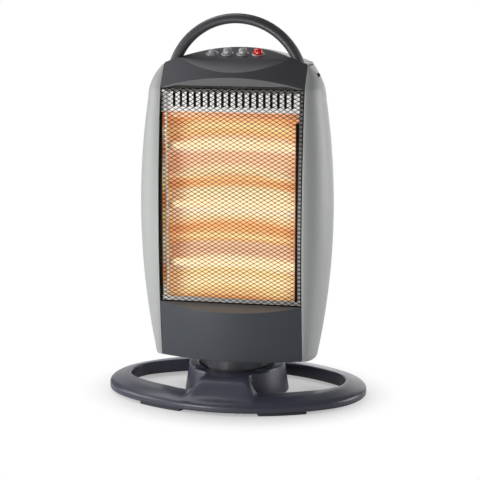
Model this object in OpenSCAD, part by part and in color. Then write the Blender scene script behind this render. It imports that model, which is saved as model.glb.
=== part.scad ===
// Halogen heater: three quartz tubes in a swivelling housing on an oval ring base.
// Millimetres, +Z up. The origin is on the floor, under the swivel axis, and the grille faces -Y.

/* [Base] */
// Overall width of the oval base
base_w = 350; // [330:1:370]
// Overall depth of the oval base
base_d = 238; // [228:1:250]
// Height of the base moulding at the ring's inner rim
ring_h = 19; // [17:1:22]
// Radius of the ring's outer shoulder
ring_edge = 8; // [5:0.5:9]
// How far the ring's top falls from its inner rim to its shoulder
ring_fall = 3; // [1:0.5:5]
// Width of the ring at its two ends
ring_end_w = 28.5; // [24:0.5:32]
// Width of the ring at the front and the back
ring_front_w = 37; // [32:0.5:40]
// Wall of the base moulding
base_wall = 2.8; // [2.4:0.1:3.4]
// Radius of the hub's top
hub_r = 64; // [62:0.5:68]
// Radius by which the hub grows towards the floor
hub_flare = 6; // [2:0.5:8]
// Height of the hub above the foot pads
hub_h = 39; // [38:0.5:44]
// Width of the bridges between the hub and the ring
bridge_w = 60; // [54:1:66]
// Radius of the fillets where the bridges meet the ring
bridge_fillet = 14; // [10:0.5:16]
// How far the bridges' tops run down over the ring
bridge_fall = 34; // [28:1:36]
// How far the bridges' sides run down over the ring
bridge_spread = 21; // [18:0.5:26]
// Height of the foot pads
pad_h = 3; // [2:0.5:4]
// Width of the foot pads
pad_w = 15; // [12:0.5:18]
// Distance of the foot pads from the base's edge
pad_inset = 1; // [0.5:0.1:1.5]
// Angle that each foot pad spans, seen from the swivel axis
pad_arc = 26; // [18:1:30]
// Direction of the first foot pad from the side axis
pad_dir = 52; // [46:1:58]

/* [Swivel] */
// Outer radius of the turntable's skirt
skirt_r = 50; // [49:0.5:52]
// Wall of the turntable
skirt_wall = 2.5; // [2:0.1:3]
// Depth of the recess in the hub that the turntable stands in
recess_h = 3; // [2:0.25:4]
// Outer radius of the hollow pivot tube
pivot_r = 15; // [13:0.5:17]
// Bore radius of the pivot tube
pivot_bore_r = 11; // [8:0.5:11.5]
// Running clearance between the pivot tube and the hub
pivot_clear = 0.05; // [0.02:0.01:0.1]
// Length of the pivot tube below the hub's top wall
pivot_tail = 8; // [7:0.5:10]
// Gap between pieces that move past each other
gap = 0.3; // [0.25:0.05:0.5]
// Thickness of the slide ring
slide_t = 1.2; // [0.8:0.1:1.6]
// Gear module of the drive
gear_m = 1.25; // [1:0.05:1.3]
// Teeth of the fixed gear, counted as if it went all the way round
gear_teeth = 45; // [42:1:46]
// Teeth of the pinion
pinion_teeth = 12; // [11:1:13]
// Play between the teeth at the pitch circle
gear_play = 0.24; // [0.15:0.01:0.4]
// Thickness of the fixed gear
gear_t = 6; // [4:0.5:7]
// Largest swing of the head to each side, in degrees
swing = 35; // [25:1:40]

/* [Head] */
// Width between the two side panels
front_w = 190; // [180:1:200]
// Height of the head's underside above the floor
body_z = 54; // [53:0.5:58]
// Height of the lower front panel
lower_h = 75; // [70:1:82]
// Height of the guard
guard_h = 281; // [270:1:290]
// Height of the top cap at its corners
cap_h = 31; // [28:1:34]
// Depth of the fullest point of the front, from the swivel axis
front_d = 48; // [46:0.5:52]
// Depth of the fullest point of the back, from the swivel axis
rear_d = 58; // [56:0.5:62]
// Radius of the front and back profiles, seen from the side
profile_r = 1100; // [1000:10:1300]
// Height of the profiles' fullest point above the head's underside
crest_h = 169; // [150:1:180]
// How far the lower panel bows forward between the side panels
lower_bow = 20; // [16:0.5:22]
// Wall of the plastic panels
wall = 2.4; // [2:0.1:3]
// Seam between the side panels and what lies between them
seam = 0.4; // [0.3:0.05:0.8]
// How far the lower panel's top facet drops at the front
lower_facet_drop = 8; // [5:0.5:10]
// Width of each side panel at its fullest
cheek_w = 33.5; // [29:0.5:37]
// Radius of the side panels' outline, seen from the front
cheek_r = 960; // [860:10:1200]
// Height of the side panels' fullest point above the head's underside
cheek_crest_h = 196; // [180:1:216]
// Radius of the side panels' top corner
cheek_corner_r = 59; // [48:1:66]
// Place of the side panels' widest line in front of the swivel axis
cheek_mid_y = 4; // [0:0.5:10]

/* [Top cap] */
// Rise of the cap's arched top between its corners
arch_rise = 19; // [16:0.5:22]
// How far the cap's front leans back over its height
cap_lean = 22; // [18:0.5:24]
// How far the cap's back leans forward over its height
cap_rear_lean = 8; // [4:0.5:12]
// How far the cap bows forward
cap_bow = 16; // [12:0.5:18]
// How far the facet under the visor rises towards the front
visor_rise = 16; // [12:0.5:18]
// Forward reach over which the visor's facet rises
visor_run = 10; // [9:0.5:14]
// Height of the button panel's front edge above the cap's corners
panel_edge_h = 6.5; // [5:0.5:8]
// Place of the button panel's front edge in front of the swivel axis
panel_edge_y = 14; // [12:0.5:17]
// Slope of the crescent in front of the button panel, in degrees
crescent_slope = 36; // [33:0.5:40]
// Slope of the button panel, in degrees
panel_slope = 16.5; // [14:0.5:18]

/* [Buttons] */
// Distance between buttons
button_pitch = 20.4; // [18.5:0.1:21]
// Place of the button row behind the panel's front edge, along the slope
button_back = 17; // [16:0.5:20]
// How far the button row stands to the left of the middle
button_side = 3; // [0:0.5:4]
// Radius of a button
button_r = 5.6; // [5:0.1:6]
// Height of a button over the panel
button_h = 8; // [6:0.25:9]
// Travel of a button
button_travel = 3.2; // [2.5:0.1:3.6]
// Outer radius of a button's bezel
bezel_r = 8.4; // [8:0.1:9]
// Height of a bezel
bezel_h = 1.2; // [0.8:0.1:2]
// Height of the switch block
switch_h = 18; // [16.5:0.5:20]

/* [Handle] */
// Height of the handle's top above the floor
handle_top = 505; // [498:1:512]
// Outer radius of the handle's arch
handle_r = 95; // [94:0.5:96]
// Thickness of the handle, seen from the front
handle_t = 13; // [11:0.5:14]
// Depth of the handle, seen from the side
handle_d = 19; // [17:0.5:22]
// Place of the handle behind the swivel axis
handle_y = -2; // [-4:0.5:3]

/* [Heating] */
// Distance between tubes
tube_pitch = 78; // [74:0.5:79]
// Height of the lowest tube above the guard's lower edge
tube_first_h = 48; // [44:0.5:48]
// Outer radius of a quartz tube
tube_r = 5; // [4.5:0.1:6]
// Wall of a quartz tube
tube_wall = 1; // [0.8:0.1:1.2]
// How far a quartz tube reaches out of the reflector at each end
tube_overhang = 10; // [9:0.25:11]
// Radius of a filament
filament_r = 1.5; // [1:0.1:2]
// Radius of the ceramic ends
ceramic_r = 7; // [6.6:0.1:7.6]
// Length of the ceramic ends
ceramic_l = 20; // [18:0.5:22]
// Depth of a reflector trough
trough_d = 30; // [26:0.5:32]
// Place of the troughs' front edges in front of the swivel axis
trough_y = 26; // [24:0.5:28]
// Thickness of the reflector sheet
sheet = 0.8; // [0.6:0.1:1]
// Distance of the reflector from each side panel
reflector_margin = 7.5; // [7:0.25:9]
// Height of the reflector's slotted flange
flange_h = 32; // [29:0.5:34]
// Number of slots in the flange
slot_count = 18; // [14:1:18]
// Distance between slots
slot_pitch = 9.2; // [8.8:0.1:9.4]
// Width of a slot
slot_w = 3.6; // [3:0.1:4]
// Height of a slot
slot_h = 22; // [18:0.5:24]

/* [Guard] */
// Depth of the guard's folded edge
guard_fold = 10; // [6:0.5:12]
// Thickness of the guard's sheet
guard_t = 1; // [0.8:0.1:1.2]
// Width of the guard's rim at its top and bottom
guard_rim = 2; // [1.5:0.1:3]
// Diamonds across the guard
mesh_across = 7; // [5:1:7]
// Diamonds up the guard
mesh_up = 21; // [15:1:21]
// Width of a strand of the mesh
strand = 1.5; // [1.2:0.1:2]

/* [Rear] */
// Number of louvre rows in the rear cover
louvre_rows = 9; // [6:1:10]
// Distance between louvre rows
louvre_pitch = 11; // [9:0.5:12]
// Height of a louvre slot
louvre_h = 3.4; // [2.5:0.1:4]
// Length of a louvre slot
louvre_l = 66; // [50:1:70]
// Height of the lowest upper louvre over the head's underside
louvre_z = 226; // [200:1:240]
// Radius of the grommet's hole for the cord
cord_r = 4; // [3:0.1:4.5]

/* [Hidden] */
$fn = 64;

eps = 1;
far = 400;

// Heights
base_z = pad_h;
rim_z = base_z + ring_h;
hub_z = base_z + hub_h;
floor_z = hub_z - recess_h;
hub_ceiling = floor_z - base_wall;
guard_z0 = body_z + lower_h;
guard_z1 = guard_z0 + guard_h;
corner_z = guard_z1 + cap_h;
crest_z = body_z + crest_h;

// Base plan: four arcs that meet smoothly
base_a = base_w / 2;
base_b = base_d / 2;
hole_a = base_a - ring_end_w;
hole_b = base_b - ring_front_w;
ring_reach = ring_front_w + base_wall + 4;
shoulder_steps = 5;
fillet_steps = 5;
flare_x = bridge_w / 2 + bridge_fillet;
flare_y = oval_side_y(hole_a, hole_b, flare_x);
// The bridges start to fall at this distance, and end just inside the ring's top
bridge_level = hole_b - 4;
bridge_end = bridge_level + bridge_fall;
bridge_low = rim_z - ring_fall - 0.6;
spread_x = bridge_w / 2 - 2;
fall_steps = 7;

// Head plan
core_x = front_w / 2 - seam;
function sag(r, h) = r - sqrt(r * r - h * h);
function depth_at(z, full) = full - sag(profile_r, z - crest_z);
front_top_y = depth_at(guard_z1, front_d);
rear_top_y = depth_at(guard_z1, rear_d);
front_guard_y = depth_at(guard_z0, front_d);
front_foot_y = depth_at(body_z, front_d);
function bow_radius(bow) = (front_w * front_w / 4 + bow * bow) / (2 * bow);
arch_r = bow_radius(arch_rise);
arch_z = corner_z + arch_rise - arch_r;
panel_edge_z = corner_z + panel_edge_h;
pan_t = 2.5;
pan_top = body_z + pan_t;
lower_split_y = 18;

// Drive
gear_r = gear_m * gear_teeth / 2;
pinion_r = gear_m * pinion_teeth / 2;
pinion_x = gear_r + pinion_r;
pinion_tip_r = pinion_r + gear_m;
gear_root_r = gear_r - 1.25 * gear_m;
gear_bore_r = gear_root_r - 5.5;
pinion_z = floor_z + slide_t + gap;
shaft_r = 3;
shaft_top = pan_top + 6;
motor_r = 24.5;
motor_h = 20;
lug_r = 5;
lug_reach = motor_r + 3;
plate_z = body_z - skirt_wall;
slide_in_r = skirt_r - 4.6;
slide_out_r = skirt_r - 0.2;
shaft_hole_r = shaft_r + 1.2;
motor_lug_t = 2;
washer_t = 2.5;
washer_z = hub_ceiling - gap - washer_t;
clip_w = 1.2;
clip_z = washer_z - clip_w;
clip_in_r = pivot_r - 1.5;
recess_r = skirt_r + 1.5;
hub_flat_y = hub_r * 0.62;
pressure = 20;

// Heating
tube_count = 3;
reflector_w = front_w - 2 * reflector_margin;
tube_l = reflector_w + 2 * tube_overhang;
tube_z0 = guard_z0 + tube_first_h;
trough_r = (tube_pitch * tube_pitch / 4 + trough_d * trough_d) / (2 * trough_d);
trough_back_y = trough_d - trough_y;
tube_y = trough_back_y - trough_r / 2;
reflector_z0 = guard_z0 + 1;
flange_z0 = guard_z1 - flange_h;
ceramic_x0 = reflector_w / 2 + sheet + 3;
frame_t = 1.2;
frame_lip = 10;
clip_t = 1.5;
shield_z = guard_z1 + gap;
shield_t = 0.8;
cutout_y = 18;
shield_hole_x = [front_w * 0.095, front_w * 0.22];
shield_hole_r = 3;
loom_end = 8;
guard_foot = guard_z0 + gap;
guard_head = guard_z1 - gap;
guard_side = 0.8;

// Buttons
button_count = 4;
hole_r = button_r + 0.4;
button_x0 = -button_pitch * (button_count - 1) / 2;
button_collar_t = 1;
switch_gap = button_travel + button_collar_t + 2 * gap;
button_flange = 1.1;
post_w = 2.5;
stem_r = 2.5;
stem_l = 9;
dome_rise = button_r * 0.6;
dome_r = (button_r * button_r + dome_rise * dome_rise) / (2 * dome_rise);

// Handle
handle_mid_r = handle_r - handle_t / 2;
handle_z = handle_top - handle_r;
handle_half = 70;
handle_end_z = corner_z - 0.5;
handle_foot_x = handle_mid_r * cos(asin((corner_z + 4 - handle_z) / handle_mid_r));
handle_boss_z = corner_z - 9;
handle_boss_r = 6;
handle_screw_l = 22;

// Rear cover and cord inlet
rear_top = guard_z1 - gap;
vent_rows = 4;
vent_z = body_z + lower_h + 10;
grommet_x = 35 - front_w / 2;
grommet_z = body_z + 22;

// Tilt switch and wiring
tilt_x = -38;
tilt_y = -16;
tilt_w = 18;
tilt_pin_z = pan_top + 32;
tilt_pin_r = 1.2;
terminal_x = -60;
terminal_y = 16;
terminal_h = 13;
loom_r = 2.5;
loom_y = terminal_y + 5;
loom_x = front_w / 2 + 6;
loom_top_x = 62;
loom_cross_z = [pan_top + 22, guard_z1 - 14];

// Screws
screw_r = 1.5;
screw_head_r = 3;
screw_head_h = 1.8;
rear_screw_z = [body_z + 26, crest_z, guard_z1 - 26];
rear_screw_depth = 1.2;

// ---------- shared forms ----------

// An oval of half width a and half depth b is four arcs, whose centres lie on 3-4-5 triangles of this size
function oval_step(a, b) = (a - b) / 2;

// Depth at x of such an oval's side arc
function oval_side_y(a, b, x) = let (k = oval_step(a, b)) sqrt(pow(b + 4 * k, 2) - x * x) - 4 * k;

// The wedge between two rays of an oval from (x, y): round the end (along X) or round the side (along Y)
module oval_wedge(x, y, reach, ends) {
    across = (ends ? 0.8 : 0.6) * reach;
    along = (ends ? 0.6 : 0.8) * reach;
    outer = ends ? [[along, -across], [reach * 2, 0], [along, across]] : [[across, along], [-across, along]];
    translate([0, 0, -far / 2]) linear_extrude(far)
        polygon([for (p = concat([[0, 0]], outer)) [p[0] + x, p[1] + y]]);
}

// Oval of four arcs, as a flat outline
module oval(a, b) {
    k = oval_step(a, b);
    r = b - k;
    for (s = [-1, 1]) translate([s * 3 * k, 0]) circle(r);
    intersection() {
        translate([0, 4 * k]) circle(r + 5 * k);
        translate([0, -4 * k]) circle(r + 5 * k);
        square([2 * (3 * k + 0.6 * r), 2 * b + eps], center = true);
    }
}

// Sweeps a flat profile round an oval; the profile's x is 0 on the outline
module oval_sweep(a, b) {
    k = oval_step(a, b);
    r = b - k;
    for (s = [0, 180]) rotate([0, 0, s]) {
        intersection() {
            translate([3 * k, 0, 0]) rotate_extrude() translate([r, 0]) children();
            oval_wedge(3 * k, 0, far, true);
        }
        intersection() {
            translate([0, -4 * k, 0]) rotate_extrude() translate([r + 5 * k, 0]) children();
            oval_wedge(0, -4 * k, 2 * far, false);
        }
    }
}

// Section of the base ring, thinner by t all round but open below
module ring_profile(t) {
    foot = t > 0 ? base_z - eps : base_z;
    r = ring_edge - t;
    shoulder = [for (a = [0 : 90 / shoulder_steps : 90])
        [r * cos(a) - ring_edge, rim_z - ring_fall - ring_edge + r * sin(a)]];
    polygon(concat([[-ring_reach, foot], [-t, foot]], shoulder, [[-ring_reach, rim_z - t]]));
}

// A block with a bowed front that leans from depth d0 at height z0 to d1 at z1, thinner by t
module bowed_front(z0, d0, z1, d1, bow, t) {
    r = bow_radius(bow);
    translate([0, -d0, z0]) rotate([atan2(d1 - d0, z1 - z0), 0, 0])
        translate([0, r - bow, 0]) cylinder(r = r - t, h = far, center = true, $fn = 180);
}

// A block as wide as w with the side profile of the front (dir -1) or the back (dir 1), thinner by t
module profile_block(w, full, dir, t) {
    translate([-w / 2, dir * (full - profile_r), crest_z]) rotate([0, 90, 0])
        cylinder(r = profile_r - t, h = w, $fn = 360);
}

// Everything above the line (y, z) that climbs by slope degrees towards the back, seen along X
module above_slope(y, z, slope) {
    translate([0, y, z]) rotate([slope, 0, 0]) translate([-far, -far, 0]) cube([2 * far, 2 * far, far]);
}

// Places its children on the button panel, with Z square to the panel
module on_panel(x) {
    translate([x - button_side, -panel_edge_y, panel_edge_z]) rotate([panel_slope, 0, 0])
        translate([0, button_back, 0]) children();
}

module at_buttons() {
    for (i = [0 : button_count - 1]) on_panel(button_x0 + i * button_pitch) children();
}

module at_tubes() {
    for (i = [0 : tube_count - 1]) translate([0, tube_y, tube_z0 + i * tube_pitch]) children();
}

module along_x(r, x0, x1) {
    translate([x0, 0, 0]) rotate([0, 90, 0]) cylinder(r = r, h = x1 - x0);
}

module pan_head_screw(length) {
    cylinder(r = screw_r, h = length);
    translate([0, 0, -screw_head_h]) cylinder(r = screw_head_r, h = screw_head_h);
}

// ---------- gear teeth ----------

function inv_angle(a) = tan(a) * 180 / PI - a;
function flank_turn(rb, r) = r <= rb ? 0 : inv_angle(acos(rb / r));

// One tooth that points along +X
module tooth(teeth, root_r, tip_r) {
    r = gear_m * teeth / 2;
    rb = r * cos(pressure);
    half = 90 / teeth - gear_play / 2 / r * 90 / PI + inv_angle(pressure);
    steps = 5;
    start = max(rb, root_r);
    side = [for (i = [0 : steps]) let (q = start + (tip_r - start) * i / steps, a = half - flank_turn(rb, q))
        [q * cos(a), q * sin(a)]];
    foot = root_r - 0.6;
    foot_a = half + 1;
    polygon(concat([[foot * cos(foot_a), -foot * sin(foot_a)]],
        [for (p = side) [p[0], -p[1]]],
        [for (i = [steps : -1 : 0]) side[i]],
        [[foot * cos(foot_a), foot * sin(foot_a)]]));
}

// ---------- base ----------

// Plan of the bridge on the -Y side, flared into the ring by stepped fillets, narrower by t
module bridge_plan(t) {
    side = concat([[bridge_w / 2 - t, 0]], [for (i = [0 : fillet_steps]) let (a = 90 * i / fillet_steps)
        [flare_x - (bridge_fillet + t) * cos(a), bridge_fillet - flare_y - (bridge_fillet + t) * sin(a)]],
        [[spread_x + bridge_spread + 1, -flare_y - 6], [spread_x + bridge_spread + 1, -bridge_end - 1]]);
    polygon(concat(side, [for (i = [len(side) - 1 : -1 : 0]) [-side[i][0], side[i][1]]]));
}

// A soft fall from height z0 at distance d0 to z1 at d1, as points (distance, height)
function soft_fall(d0, z0, d1, z1) = [for (i = [0 : fall_steps]) let (u = i / fall_steps)
    [d0 + (d1 - d0) * u, z1 + (z0 - z1) * (1 + cos(180 * u)) / 2]];

// The bridges, thinner by t: level beside the hub, then falling softly over the ring to the front and the sides
module bridge_form(t) {
    foot = t > 0 ? base_z - eps : base_z;
    front = soft_fall(bridge_level, floor_z - t, bridge_end, bridge_low - t);
    flank = soft_fall(spread_x, floor_z + 1 - t, spread_x + bridge_spread, bridge_low - 0.4 - t);
    for (s = [0, 180]) rotate([0, 0, s]) intersection() {
        translate([0, 0, foot]) linear_extrude(hub_h + eps) bridge_plan(t);
        rotate([90, 0, 90]) linear_extrude(4 * flare_x, center = true)
            polygon(concat([[-pivot_r - 5, foot], [-pivot_r - 5, floor_z - t]],
                [for (p = front) [-p[0], p[1]]], [[-bridge_end, foot]]));
        rotate([90, 0, 0]) linear_extrude(bridge_end + 2)
            polygon(concat(flank, [[spread_x + bridge_spread + 2, bridge_low - 0.4 - t],
                [spread_x + bridge_spread + 2, foot], [-spread_x - bridge_spread - 2, foot],
                [-spread_x - bridge_spread - 2, bridge_low - 0.4 - t]],
                [for (i = [fall_steps : -1 : 0]) [-flank[i][0], flank[i][1]]]));
    }
}

module base() {
    color([0.24, 0.24, 0.29]) difference() {
        union() {
            difference() {
                oval_sweep(base_a, base_b) ring_profile(0);
                translate([0, 0, base_z - eps]) linear_extrude(ring_h + 2 * eps)
                    oval(hole_a, hole_b);
            }
            translate([0, 0, base_z]) cylinder(r1 = hub_r + hub_flare, r2 = hub_r, h = hub_h, $fn = 128);
            bridge_form(0);
        }
        // the hollow underside: ring, hub and bridges
        difference() {
            oval_sweep(base_a, base_b) ring_profile(base_wall);
            translate([0, 0, base_z - 2 * eps]) linear_extrude(ring_h + 4 * eps)
                oval(hole_a + base_wall, hole_b + base_wall);
        }
        translate([0, 0, base_z - eps]) cylinder(r1 = hub_r + hub_flare - base_wall,
            r2 = hub_r - base_wall, h = hub_ceiling - base_z + eps, $fn = 128);
        bridge_form(base_wall);
        // recess of the turntable, open to the front and the back
        translate([0, 0, floor_z]) cylinder(r = recess_r, h = hub_h, $fn = 128);
        for (s = [-1, 1]) translate([0, s * (far / 2 + hub_flat_y), floor_z + far / 2])
            cube([far, far, far], center = true);
        // bore of the pivot tube and the gear's pilot holes
        cylinder(r = pivot_r + pivot_clear, h = far, $fn = 96);
        at_gear_screws() translate([0, 0, -far / 2]) cylinder(r = screw_r, h = far);
    }
}

module at_gear_screws() {
    for (a = [120, 180, 240]) rotate([0, 0, a])
        translate([(gear_bore_r + gear_root_r) / 2, 0, floor_z + gear_t]) children();
}

module foot_pads() {
    color([0.1, 0.1, 0.11]) for (d = [pad_dir, 180 - pad_dir, 180 + pad_dir, -pad_dir])
        intersection() {
            difference() {
                linear_extrude(base_z) oval(base_a - pad_inset, base_b - pad_inset);
                translate([0, 0, -eps]) linear_extrude(base_z + 2 * eps)
                    oval(base_a - pad_inset - pad_w, base_b - pad_inset - pad_w);
            }
            rotate([0, 0, d - pad_arc / 2]) rotate_extrude(angle = pad_arc) square([base_w, base_z]);
        }
}

module slide_ring() {
    color([0.85, 0.85, 0.8]) translate([0, 0, floor_z]) difference() {
        cylinder(r = slide_out_r, h = slide_t, $fn = 96);
        translate([0, 0, -eps]) cylinder(r = slide_in_r, h = slide_t + 2 * eps, $fn = 96);
    }
}

// A sector of the gear: teeth where the pinion runs, and a plain rim round the rest
module fixed_gear() {
    last = ceil((swing + 12) / (360 / gear_teeth));
    color([0.9, 0.9, 0.86]) difference() {
        translate([0, 0, floor_z]) linear_extrude(gear_t) {
            circle(gear_root_r, $fn = 96);
            for (i = [-last : last]) rotate([0, 0, i * 360 / gear_teeth])
                tooth(gear_teeth, gear_root_r, gear_r + gear_m);
        }
        translate([0, 0, floor_z - eps]) cylinder(r = gear_bore_r, h = gear_t + 2 * eps);
        at_gear_screws() translate([0, 0, -far / 2]) cylinder(r = screw_r, h = far);
    }
}

module gear_screws() {
    color([0.7, 0.7, 0.72]) at_gear_screws() mirror([0, 0, 1]) pan_head_screw(gear_t + base_wall);
}

// ---------- turntable and drive ----------

module swivel_collar() {
    tube_foot = hub_ceiling - pivot_tail;
    skirt_foot = floor_z + slide_t + gap;
    color([0.2, 0.2, 0.25]) difference() {
        union() {
            difference() {
                translate([0, 0, skirt_foot]) cylinder(r = skirt_r, h = body_z - skirt_foot, $fn = 128);
                translate([0, 0, skirt_foot - eps])
                    cylinder(r = skirt_r - skirt_wall, h = plate_z - skirt_foot + eps, $fn = 128);
            }
            translate([0, 0, tube_foot]) cylinder(r = pivot_r, h = body_z - tube_foot, $fn = 96);
        }
        translate([0, 0, tube_foot - eps]) cylinder(r = pivot_bore_r, h = far, $fn = 96);
        // groove of the retaining clip
        translate([0, 0, clip_z]) difference() {
            cylinder(r = pivot_r + eps, h = clip_w, $fn = 96);
            translate([0, 0, -eps]) cylinder(r = clip_in_r, h = clip_w + 2 * eps, $fn = 96);
        }
        translate([pinion_x, 0, 0]) cylinder(r = shaft_hole_r, h = far);
        at_collar_screws() translate([0, 0, -far / 2]) cylinder(r = screw_r, h = far);
    }
}

module retaining_washer() {
    color([0.6, 0.6, 0.62]) translate([0, 0, washer_z]) difference() {
        cylinder(r = pivot_r + 7, h = washer_t, $fn = 96);
        translate([0, 0, -eps]) cylinder(r = pivot_r + pivot_clear, h = washer_t + 2 * eps, $fn = 96);
    }
}

module retaining_clip() {
    color([0.5, 0.5, 0.52]) translate([0, 0, clip_z]) rotate([0, 0, 20])
        rotate_extrude(angle = 320) translate([clip_in_r, 0]) square([4, clip_w]);
}

module at_collar_screws() {
    for (a = [60, 180, 300]) rotate([0, 0, a]) translate([pinion_x, 0, pan_top]) children();
}

module floor_pan() {
    color([0.55, 0.56, 0.58]) difference() {
        intersection() {
            translate([-core_x + wall + gap, -far / 2, body_z])
                cube([2 * (core_x - wall - gap), far, pan_t]);
            bowed_front(body_z, front_foot_y, guard_z0, front_guard_y, lower_bow, wall + gap);
            profile_block(front_w, rear_d, 1, wall + gap);
        }
        translate([0, 0, body_z - eps]) cylinder(r = pivot_bore_r, h = pan_t + 2 * eps);
        translate([pinion_x, 0, body_z - eps]) cylinder(r = shaft_hole_r, h = pan_t + 2 * eps);
        at_collar_screws() translate([0, 0, -far / 2]) cylinder(r = screw_r, h = far);
        at_motor_screws() translate([0, 0, -pan_t - motor_lug_t - eps]) cylinder(r = screw_r, h = far);
    }
}

module collar_screws() {
    color([0.7, 0.7, 0.72]) at_collar_screws() mirror([0, 0, 1]) pan_head_screw(pan_t + skirt_wall);
}

module at_motor_screws() {
    for (s = [-1, 1]) translate([pinion_x, s * lug_reach, pan_top + motor_lug_t]) children();
}

module gear_motor() {
    color([0.78, 0.78, 0.76]) difference() {
        union() {
            translate([pinion_x, 0, pan_top]) cylinder(r = motor_r, h = motor_h, $fn = 96);
            at_motor_screws() translate([0, 0, -motor_lug_t]) cylinder(r = lug_r, h = motor_lug_t);
        }
        translate([pinion_x, 0, pan_top - eps]) cylinder(r = shaft_r + pivot_clear, h = eps + shaft_top
            - pan_top + gap);
        at_motor_screws() translate([0, 0, -far / 2]) cylinder(r = screw_r, h = far);
    }
}

module motor_screws() {
    color([0.7, 0.7, 0.72]) at_motor_screws() mirror([0, 0, 1]) pan_head_screw(motor_lug_t + pan_t);
}

module drive_pinion() {
    root_r = pinion_r - 1.15 * gear_m;
    color([0.92, 0.9, 0.84]) translate([pinion_x, 0, 0]) {
        translate([0, 0, pinion_z]) linear_extrude(gear_t - 1) {
            circle(root_r, $fn = 48);
            for (i = [0 : pinion_teeth - 1]) rotate([0, 0, 180 + (i + 0.5) * 360 / pinion_teeth])
                tooth(pinion_teeth, root_r, pinion_tip_r);
        }
        translate([0, 0, pinion_z + gear_t - 2]) cylinder(r = shaft_r, h = shaft_top - pinion_z - gear_t + 2);
    }
}

// ---------- head shells ----------

// The lower panel's outer form, thinner by t, open to the back and below when t is over 0
module lower_form(t) {
    open = t > 0 ? eps : 0;
    facet = atan2(lower_facet_drop, lower_bow);
    difference() {
        intersection() {
            bowed_front(body_z, front_foot_y, guard_z0, front_guard_y, lower_bow, t);
            translate([-core_x + t, -far / 2, body_z - open])
                cube([2 * (core_x - t), far / 2 - lower_split_y + open, lower_h - t + open]);
        }
        translate([0, -front_guard_y, guard_z0 - t]) rotate([facet, 0, 0])
            translate([-far, -far, 0]) cube([2 * far, far, far]);
    }
}

module lower_panel() {
    color([0.2, 0.21, 0.24]) difference() {
        lower_form(0);
        lower_form(wall);
    }
}

// The cap's outer form, thinner by t, open below when t is over 0
module cap_form(t) {
    open = t > 0 ? eps : 0;
    visor = -atan2(visor_rise, visor_run);
    difference() {
        intersection() {
            translate([-core_x + t, -far / 2, guard_z1 - open]) cube([2 * (core_x - t), far, far]);
            translate([0, far / 2, arch_z]) rotate([90, 0, 0]) cylinder(r = arch_r - t, h = far, $fn = 180);
            bowed_front(guard_z1, front_top_y, corner_z, front_top_y - cap_lean, cap_bow, t);
            translate([0, rear_top_y - t, guard_z1]) rotate([atan2(cap_rear_lean, cap_h), 0, 0])
                translate([-far, -far, -far]) cube([2 * far, far, 2 * far]);
        }
        translate([0, 0, -t / cos(crescent_slope)]) above_slope(-panel_edge_y, panel_edge_z, crescent_slope);
        translate([0, 0, -t / cos(panel_slope)]) above_slope(-panel_edge_y, panel_edge_z, panel_slope);
        // what lies under the visor's facet
        translate([0, -front_top_y, guard_z1 + t / cos(visor)]) rotate([visor, 0, 0])
            translate([-far, -far, -far]) cube([2 * far, far, far]);
    }
}

module at_handle_screws() {
    for (s = [-1, 1]) translate([s * handle_foot_x, handle_y, handle_boss_z]) children();
}

module top_cap() {
    color([0.28, 0.28, 0.3]) difference() {
        union() {
            difference() {
                cap_form(0);
                cap_form(wall);
            }
            intersection() {
                cap_form(0);
                at_handle_screws() cylinder(r = handle_boss_r, h = far);
            }
        }
        at_handle_screws() cylinder(r = screw_r, h = far, center = true);
        at_buttons() translate([0, 0, -2 * wall]) cylinder(r = hole_r, h = 4 * wall);
    }
}

// Half width of the head at height z
cheek_z = body_z + cheek_crest_h;
function barrel_x(z) = front_w / 2 + cheek_w - sag(cheek_r, z - cheek_z);
// The top corner's arc: its turn and the height of its centre where the centre stands at x, and
// the x where the arc meets the barrel's side without a step
function arc_turn(x) = acos((front_w / 2 - x) / cheek_corner_r);
function arc_mid_z(x) = corner_z - cheek_corner_r * sin(arc_turn(x));
function settled(x, rounds) = rounds == 0 ? x
    : settled(barrel_x(arc_mid_z(x)) - cheek_corner_r, rounds - 1);
corner_rounds = 5;
corner_x = settled(barrel_x(corner_z - cheek_corner_r) - cheek_corner_r, corner_rounds);
corner_turn = arc_turn(corner_x);
corner_mid_z = arc_mid_z(corner_x);
// Front and back depth of the side panels at height z
function lean_part(z) = max(0, z - guard_z1) / cap_h;
function cheek_front(z) = depth_at(min(z, guard_z1), front_d) - cap_lean * lean_part(z);
function cheek_back(z) = depth_at(min(z, guard_z1), rear_d) - cap_rear_lean * lean_part(z);

// One level of the side panel: points from the front edge round the bulge to the back edge
cheek_steps = 16;
function cheek_level(x, z, t, inner_x) = let (f = cheek_front(z) - t, b = cheek_back(z) - t, m = -cheek_mid_y)
    [for (i = [0 : cheek_steps]) let (a = 180 * i / cheek_steps, s = pow(sin(a), 0.9))
        [inner_x + max(0.2, x - t - inner_x) * s, cos(a) > 0 ? m - (f + m) * cos(a) : m - (b - m) * cos(a), z]];

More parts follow.
